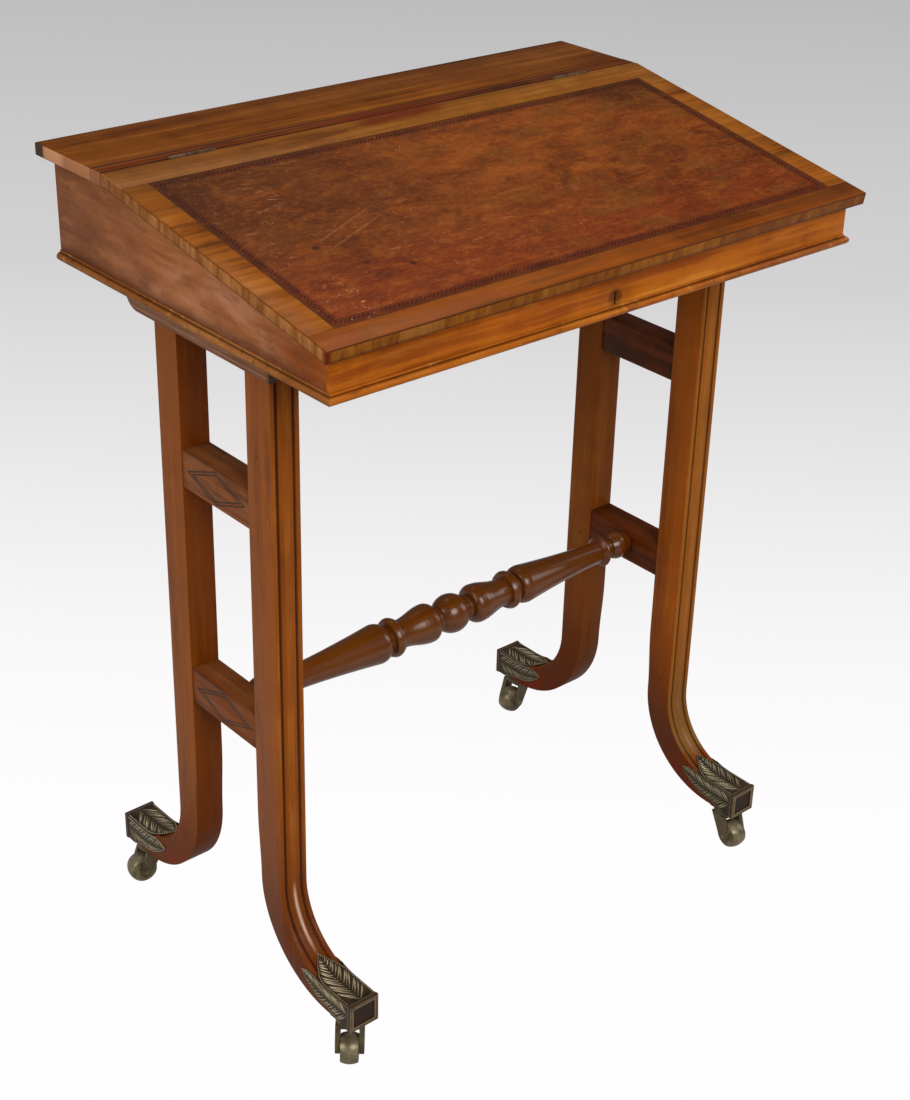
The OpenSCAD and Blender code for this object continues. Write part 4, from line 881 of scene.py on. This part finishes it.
# Distances back are from the toe's end, and those down are from the cap's top edge
FLAT_BACK = TOE_REACH - FOOT_RADIUS
CAP_RADIUS = FOOT_RADIUS - CAP_THICK
TOP_HALF = 0.0158
TOP_FULL = math.radians(6)
TOP_TIP = math.radians(31)
SIDE_TOP_DOWN = 0.0012
SIDE_TIP_DROP = 0.0118
SIDE_TIP_BACK = 0.0583
SIDE_TIP_LENGTH = 0.017
SIDE_FOOT_DOWN = 0.0293
SIDE_FOOT_BACK = 0.017
SIDE_WAIST_DOWN = 0.0225
SIDE_WAIST_RISE = 0.0100
SIDE_CURVE_LENGTH = 0.0393
SIDE_RIB_DOWN = 0.0125
LEAF_END_BACK = 0.0750
TOP_PAIRS = 15
TOP_FIRST_BACK = 0.0058
TOP_STEP = 0.0046
SIDE_PAIRS = 17
SIDE_FIRST_BACK = 0.0056
SIDE_STEP = 0.0040
LEAFLET_LONGEST = 0.024
LEAFLET_TRIM = 0.0004
ROPE_STEP = 0.0015
ROPE_TURN = 0.0016
ROPE_FIRST_BACK = 0.0055
ROPE_POINTS = 41
ROPE_LENGTH = 0.0710
ROPE_LOWER_BACK = 0.015


def on_top(back, across, rise):
    """A place on the cap's top, by its distance back from the toe's end, in the leg's own frame."""
    if back <= FLAT_BACK:
        return Vector((across, back - TOE_REACH, CAP_TOP_Z + rise))
    turn = (back - FLAT_BACK) / CAP_RADIUS
    reach = CAP_RADIUS - rise
    return Vector((across, reach * math.sin(turn) - FOOT_RADIUS,
                   FOOT_CENTRE_Z - reach * math.cos(turn)))


def on_side(side, back, down, rise):
    """A place on one side of the cap, by its distance back and down from the top edge."""
    across = side * (CAP_HALF + rise)
    if back <= FLAT_BACK:
        return Vector((across, back - TOE_REACH, CAP_TOP_Z - down))
    turn = (back - FLAT_BACK) / CAP_RADIUS
    reach = CAP_RADIUS + down
    return Vector((across, reach * math.sin(turn) - FOOT_RADIUS,
                   FOOT_CENTRE_Z - reach * math.cos(turn)))


def top_half(back):
    """Half the width of the top leaf."""
    turn = max(back - FLAT_BACK, 0.0) / CAP_RADIUS
    share = (math.sin(TOP_TIP) - math.sin(turn)) / (math.sin(TOP_TIP) - math.sin(TOP_FULL))
    return TOP_HALF * math.sin(math.pi / 2 * min(max(share, 0.0), 1.0))


def side_upper(back):
    """How far down the upper border of the side leaf is."""
    share = min(max(back - SIDE_TIP_BACK, 0.0) / SIDE_TIP_LENGTH, 1.0)
    return SIDE_TOP_DOWN + SIDE_TIP_DROP * share * share


def side_lower(back):
    """How far down the lower border of the side leaf is."""
    if back <= FLAT_BACK:
        share = max(back - SIDE_FOOT_BACK, 0.0) / (FLAT_BACK - SIDE_FOOT_BACK)
        return SIDE_FOOT_DOWN - (SIDE_FOOT_DOWN - SIDE_WAIST_DOWN) * share
    share = min((back - FLAT_BACK) / SIDE_CURVE_LENGTH, 1.0)
    return SIDE_WAIST_DOWN - SIDE_WAIST_RISE * share * share


def pick(piece, test):
    """Selects the faces of a piece whose middle and direction pass a test."""
    bpy.ops.mesh.select_mode(type="FACE")
    bpy.ops.mesh.select_all(action="DESELECT")
    bpy.ops.object.mode_set(mode="OBJECT")
    for face in piece.data.polygons:
        face.select = test(face.center, face.normal)
    bpy.ops.object.mode_set(mode="EDIT")


def block(name):
    """A new block, 1 long, wide and high, open for editing."""
    bpy.ops.object.select_all(action="DESELECT")
    bpy.ops.mesh.primitive_cube_add(size=1.0, location=(0.0, 0.0, 0.0))
    piece = bpy.context.object
    piece.name = name
    bpy.ops.object.mode_set(mode="EDIT")
    return piece


def leaflet(name):
    """One small curled leaf, 1 long, drawn out in three sections and hollowed along its middle."""
    piece = block(name)
    bpy.ops.mesh.select_all(action="SELECT")
    bpy.ops.transform.resize(value=(0.2, 0.45, 0.7), center_override=(0.0, 0.0, 0.0))
    bpy.ops.transform.translate(value=(-0.4, 0.0, 0.0))
    for step, widen, lift, aside in ((0.34, 1.9, 1.25, 0.04), (0.30, 0.85, 0.95, -0.04),
                                     (0.20, 0.32, 0.6, -0.14)):
        pick(piece, lambda middle, normal: normal.x > 0.9)
        bpy.ops.mesh.extrude_region_move(TRANSFORM_OT_translate={"value": (step, aside, 0.0)})
        bpy.ops.transform.resize(value=(1.0, widen, lift))
        bpy.ops.object.mode_set(mode="OBJECT")
        bpy.ops.object.mode_set(mode="EDIT")
    pick(piece, lambda middle, normal: normal.z > 0.6)
    bpy.ops.mesh.inset(thickness=0.12, depth=0.0)
    bpy.ops.transform.translate(value=(0.0, 0.0, -0.22))
    pick(piece, lambda middle, normal: normal.z < -0.6)
    bpy.ops.mesh.delete(type="FACE")
    bpy.ops.mesh.select_all(action="SELECT")
    bpy.ops.transform.rotate(value=math.radians(-24), orient_axis="X",
                             center_override=(0.0, 0.0, -0.3))
    bpy.ops.object.mode_set(mode="OBJECT")
    rounding = piece.modifiers.new("rounding", "SUBSURF")
    rounding.levels = 1
    bpy.ops.object.modifier_apply(modifier=rounding.name)
    # The underside, which lies in the cap, is closed with one face
    bpy.ops.object.mode_set(mode="EDIT")
    bpy.ops.mesh.select_mode(type="EDGE")
    bpy.ops.mesh.select_all(action="DESELECT")
    bpy.ops.mesh.select_non_manifold()
    bpy.ops.mesh.edge_face_add()
    bpy.ops.object.mode_set(mode="OBJECT")
    note_crest(piece, 0.0, 0.30, 2.2)
    return piece


def note_crest(piece, foot, top, lean):
    """Notes at each corner of a pattern how near it is to the crest, which leans to one side, where a
    painted highlight falls.
    """
    noted = piece.data.attributes.new("crest", "FLOAT", "POINT")
    for vertex, item in zip(piece.data.vertices, noted.data):
        rise = (vertex.co.z - foot) / (top - foot)
        item.value = min(max(rise, 0.0), 1.0) * min(max(0.5 + vertex.co.y * lean, 0.0), 1.0)


def rope_turn(name):
    """One turn of a roped border: a little block, narrower above, with its corners cut away."""
    piece = block(name)
    pick(piece, lambda middle, normal: normal.z > 0.9)
    bpy.ops.transform.resize(value=(0.7, 0.5, 1.0))
    bpy.ops.mesh.select_all(action="SELECT")
    bpy.ops.mesh.bevel(offset=0.16, segments=1)
    bpy.ops.object.mode_set(mode="OBJECT")
    note_crest(piece, -0.2, 0.4, 0.0)
    return piece


def laid(pattern, place, length, width, height, start, heading, hand=1.0):
    """Copies a small pattern onto a curved face, from its start along its heading."""
    copy = pattern.data.copy()
    for vertex in copy.vertices:
        along = (vertex.co.x + 0.5) * length
        aside = vertex.co.y * width * hand
        back = start[0] + along * heading[0] - aside * heading[1]
        other = start[1] + along * heading[1] + aside * heading[0]
        vertex.co = place(back, other, vertex.co.z * height)
    return copy


def reach_of(back, slant, room):
    """How long a leaflet may be that starts at the midrib and keeps inside the border."""
    length = LEAFLET_LONGEST
    while length > 0.0 and length * math.sin(slant) > room(back + length * math.cos(slant)):
        length -= LEAFLET_TRIM
    return length


def beside(side):
    """Lays things on the left side of the cap for a side of -1, and on the right for 1."""
    return lambda back, down, rise: on_side(side, back, down, rise)


def top_leaf(leaf):
    """The leaflets on top, in pairs from the toe's end up the foot."""
    laid_leaves = []
    for number in range(TOP_PAIRS):
        back = TOP_FIRST_BACK + number * TOP_STEP
        for hand in (-1.0, 1.0):
            slant = math.radians(37 + 4 * math.sin(number * 2.3 + hand))
            length = reach_of(back, slant, lambda end: top_half(end) - 0.0020)
            if length > 0.003:
                width = 0.0036 + 0.0005 * math.sin(number * 3.1 + hand * 2.0)
                heading = (math.cos(slant), hand * math.sin(slant))
                laid_leaves.append(laid(leaf, on_top, length, width, 0.0021,
                                        (back, hand * 0.0009), heading, hand))
    return laid_leaves


def side_leaf(leaf, place):
    """The leaflets on one side, above and below the midrib."""
    laid_leaves = []
    for number in range(SIDE_PAIRS):
        back = SIDE_FIRST_BACK + number * SIDE_STEP
        rib = SIDE_RIB_DOWN + 0.0004 * back / LEAF_END_BACK
        slant = math.radians(42 + 4 * math.sin(number * 1.9))
        ahead, aside = math.cos(slant), math.sin(slant)
        upper = reach_of(back, slant, lambda end: rib - side_upper(end) - 0.0016)
        lower = reach_of(back, slant, lambda end: side_lower(end) - rib - 0.0016)
        if upper > 0.0024:
            laid_leaves.append(laid(leaf, place, upper, 0.0030, 0.0017, (back, rib - 0.0007),
                                    (ahead, -aside), -1.0))
        if lower > 0.0024:
            laid_leaves.append(laid(leaf, place, lower, 0.0034, 0.0019, (back, rib + 0.0007),
                                    (ahead, aside)))
    return laid_leaves


def rope(turn, place, path):
    """A roped border: turns laid along a path, each leaning across it."""
    turns = []
    for start, end in zip(path, path[1:]):
        length = math.dist(start, end)
        if length < 0.0002:
            continue
        heading = [(b - a) / length for a, b in zip(start, end)]
        leaning = (heading[0] * 0.8 - heading[1] * 0.6, heading[0] * 0.6 + heading[1] * 0.8)
        count = max(1, round(length / ROPE_STEP))
        for number in range(count):
            share = (number + 0.5) / count
            foot = [a + (b - a) * share - lean * ROPE_TURN / 2
                    for a, b, lean in zip(start, end, leaning)]
            turns.append(laid(turn, place, ROPE_TURN, 0.0011, 0.0012, foot, leaning))
    return turns


def joined(name, meshes):
    """One mesh of many, with the crest that each carries at its corners."""
    vertices, faces, crests = [], [], []
    for mesh in meshes:
        first = len(vertices)
        crests.extend(item.value for item in mesh.attributes["crest"].data)
        vertices.extend(vertex.co.copy() for vertex in mesh.vertices)
        faces.extend([first + index for index in face.vertices] for face in mesh.polygons)
        bpy.data.meshes.remove(mesh)
    whole = bpy.data.meshes.new(name)
    whole.from_pydata(vertices, [], faces)
    carried = whole.attributes.new("crest", "FLOAT", "POINT")
    carried.data.foreach_set("value", crests)
    return whole


def ornament(name, material):
    """All the raised work of one toe cap, in the leg's own frame."""
    leaf = leaflet("leaf")
    turn = rope_turn("rope turn")
    backs = [ROPE_FIRST_BACK + ROPE_LENGTH * step / (ROPE_POINTS - 1)
             for step in range(ROPE_POINTS)]
    meshes = top_leaf(leaf)
    for side in (-1.0, 1.0):
        meshes += side_leaf(leaf, beside(side))
    for hand in (-1.0, 1.0):
        border = [(back, hand * max(top_half(back) - 0.0003, 0.0)) for back in backs]
        meshes += rope(turn, on_top, border)
    for side in (-1.0, 1.0):
        above = [(back, side_upper(back) + 0.0004) for back in backs if back < LEAF_END_BACK]
        below = [(back, side_lower(back) - 0.0004) for back in backs
                 if ROPE_LOWER_BACK < back < LEAF_END_BACK]
        meshes += rope(turn, beside(side), above) + rope(turn, beside(side), below)
    work = joined(name, meshes)
    work.materials.append(material)
    bpy.data.objects.remove(leaf)
    bpy.data.objects.remove(turn)
    return work


pattern = ornament("cap leaves", leaf_brass)
for front in (True, False):
    for left in (True, False):
        corner = ("front" if front else "rear") + ("_left" if left else "_right")
        mesh = pattern.copy()
        for vertex in mesh.vertices:
            across, ahead, height = vertex.co
            vertex.co.x = (-LEG_X + across) if left else (LEG_X - across)
            vertex.co.y = FRONT_FACE_Y + ahead if front else REAR_FACE_Y - ahead
        leaves = bpy.data.objects.new(corner + "_cap_leaves", mesh)
        bpy.context.collection.objects.link(leaves)
        only(leaves)
        bpy.ops.object.mode_set(mode="EDIT")
        bpy.ops.mesh.select_all(action="SELECT")
        bpy.ops.mesh.normals_make_consistent(inside=False)
        bpy.ops.object.mode_set(mode="OBJECT")
        bpy.ops.object.shade_smooth_by_angle(angle=math.radians(80))
        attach(leaves, bodies[corner + "_toe_cap"])

# Room, light and camera

PHOTO_WIDE = 910
PHOTO_HIGH = 1100
LENS_PIXELS = 1921.3
CENTRE_PIXEL_X = 483.07
CENTRE_PIXEL_Y = 523.34
FILM_WIDTH = 36.0
CAMERA_PLACE = Vector((-1.16069, -1.32393, 1.36979))
CAMERA_TURN = math.radians(42.163)
CAMERA_DROP = math.radians(27.976)
CAMERA_ROLL = math.radians(-1.961)
FLOOR_FADE = 7.0


def floor_paint():
    """A studio floor that reads white in front and pale grey far behind, with no shadow."""
    f = Finish("studio floor")
    ahead = ((f.x - CAMERA_PLACE.x) * math.sin(CAMERA_TURN)
             + (f.y - CAMERA_PLACE.y) * math.cos(CAMERA_TURN))
    ramp = f.node("ShaderNodeValToRGB", values={"Fac": (ahead * (1.0 / FLOOR_FADE)).held()})
    shades = ((0.26, 1.0), (0.31, 0.955), (0.36, 0.875), (0.42, 0.78), (0.52, 0.655),
              (0.70, 0.57), (0.90, 0.50))
    stops = ramp.color_ramp.elements
    while len(stops) < len(shades):
        stops.new(0.5)
    for stop, (position, shade) in zip(stops, shades):
        stop.position = position
        stop.color = (shade, shade * 0.985, shade * 0.99, 1.0)
    seen = f.node("ShaderNodeEmission", values={"Color": ramp.outputs["Color"], "Strength": 1.0})
    lit = f.node("ShaderNodeBsdfDiffuse", values={"Color": (0.42, 0.42, 0.42)})
    path = f.node("ShaderNodeLightPath")
    f.close(f.node("ShaderNodeMixShader", values={
        0: path.outputs["Is Camera Ray"], 1: lit.outputs[0], 2: seen.outputs[0]}))
    return f.material


bpy.ops.object.select_all(action="DESELECT")
bpy.ops.mesh.primitive_plane_add(size=40.0, location=(0.0, 0.0, 0.0))
studio_floor = bpy.context.object
studio_floor.name = "studio_floor"
give(studio_floor, floor_paint())

world = bpy.data.worlds.new("studio air")
bpy.context.scene.world = world
world.use_nodes = True
air = world.node_tree.nodes["Background"]
air.inputs["Color"].default_value = (0.97, 0.97, 1.0, 1.0)
# Polished wood mirrors a darker room than the one that lights it
rays = world.node_tree.nodes.new("ShaderNodeLightPath")
dimmer = world.node_tree.nodes.new("ShaderNodeMapRange")
dimmer.inputs["To Min"].default_value = 0.42
dimmer.inputs["To Max"].default_value = 0.07
world.node_tree.links.new(rays.outputs["Is Glossy Ray"], dimmer.inputs["Value"])
world.node_tree.links.new(dimmer.outputs["Result"], air.inputs["Strength"])


def softbox(name, place, target, width, height, power, tint=(1.0, 1.0, 1.0)):
    """A studio light with a flat square face, turned toward a target."""
    data = bpy.data.lights.new(name, "AREA")
    data.shape = "RECTANGLE"
    data.size = width
    data.size_y = height
    data.energy = power
    data.color = tint
    lamp = bpy.data.objects.new(name, data)
    bpy.context.collection.objects.link(lamp)
    lamp.location = place
    lamp.rotation_euler = (Vector(target) - Vector(place)).to_track_quat("-Z", "Y").to_euler()


softbox("key light", (-0.6, -2.6, 2.3), (0.0, 0.0, 0.5), 1.8, 1.6, 62.0, (1.0, 0.98, 0.95))
softbox("left light", (-2.6, 0.2, 1.7), (0.0, 0.0, 0.6), 1.4, 1.8, 34.0, (1.0, 0.98, 0.97))
softbox("right light", (2.6, -1.2, 1.6), (0.0, 0.0, 0.5), 1.2, 1.6, 16.0)
softbox("top light", (0.3, 0.6, 3.0), (0.0, 0.0, 0.8), 1.6, 1.6, 22.0)

camera_data = bpy.data.cameras.new("photo camera")
camera = bpy.data.objects.new("photo camera", camera_data)
bpy.context.collection.objects.link(camera)
bpy.context.scene.camera = camera
look = Vector((math.sin(CAMERA_TURN) * math.cos(CAMERA_DROP),
               math.cos(CAMERA_TURN) * math.cos(CAMERA_DROP), -math.sin(CAMERA_DROP)))
level = look.to_track_quat("-Z", "Y").to_matrix()
camera.matrix_world = (Matrix.Translation(CAMERA_PLACE)
                       @ (level @ Matrix.Rotation(-CAMERA_ROLL, 3, "Z")).to_4x4())
camera_data.sensor_fit = "AUTO"
camera_data.sensor_width = FILM_WIDTH
camera_data.lens = LENS_PIXELS / PHOTO_HIGH * FILM_WIDTH
camera_data.shift_x = (PHOTO_WIDE / 2 - CENTRE_PIXEL_X) / PHOTO_HIGH
camera_data.shift_y = (CENTRE_PIXEL_Y - PHOTO_HIGH / 2) / PHOTO_HIGH
camera_data.clip_end = 60.0
camera_data.dof.use_dof = False
bpy.context.scene.view_settings.view_transform = "Standard"
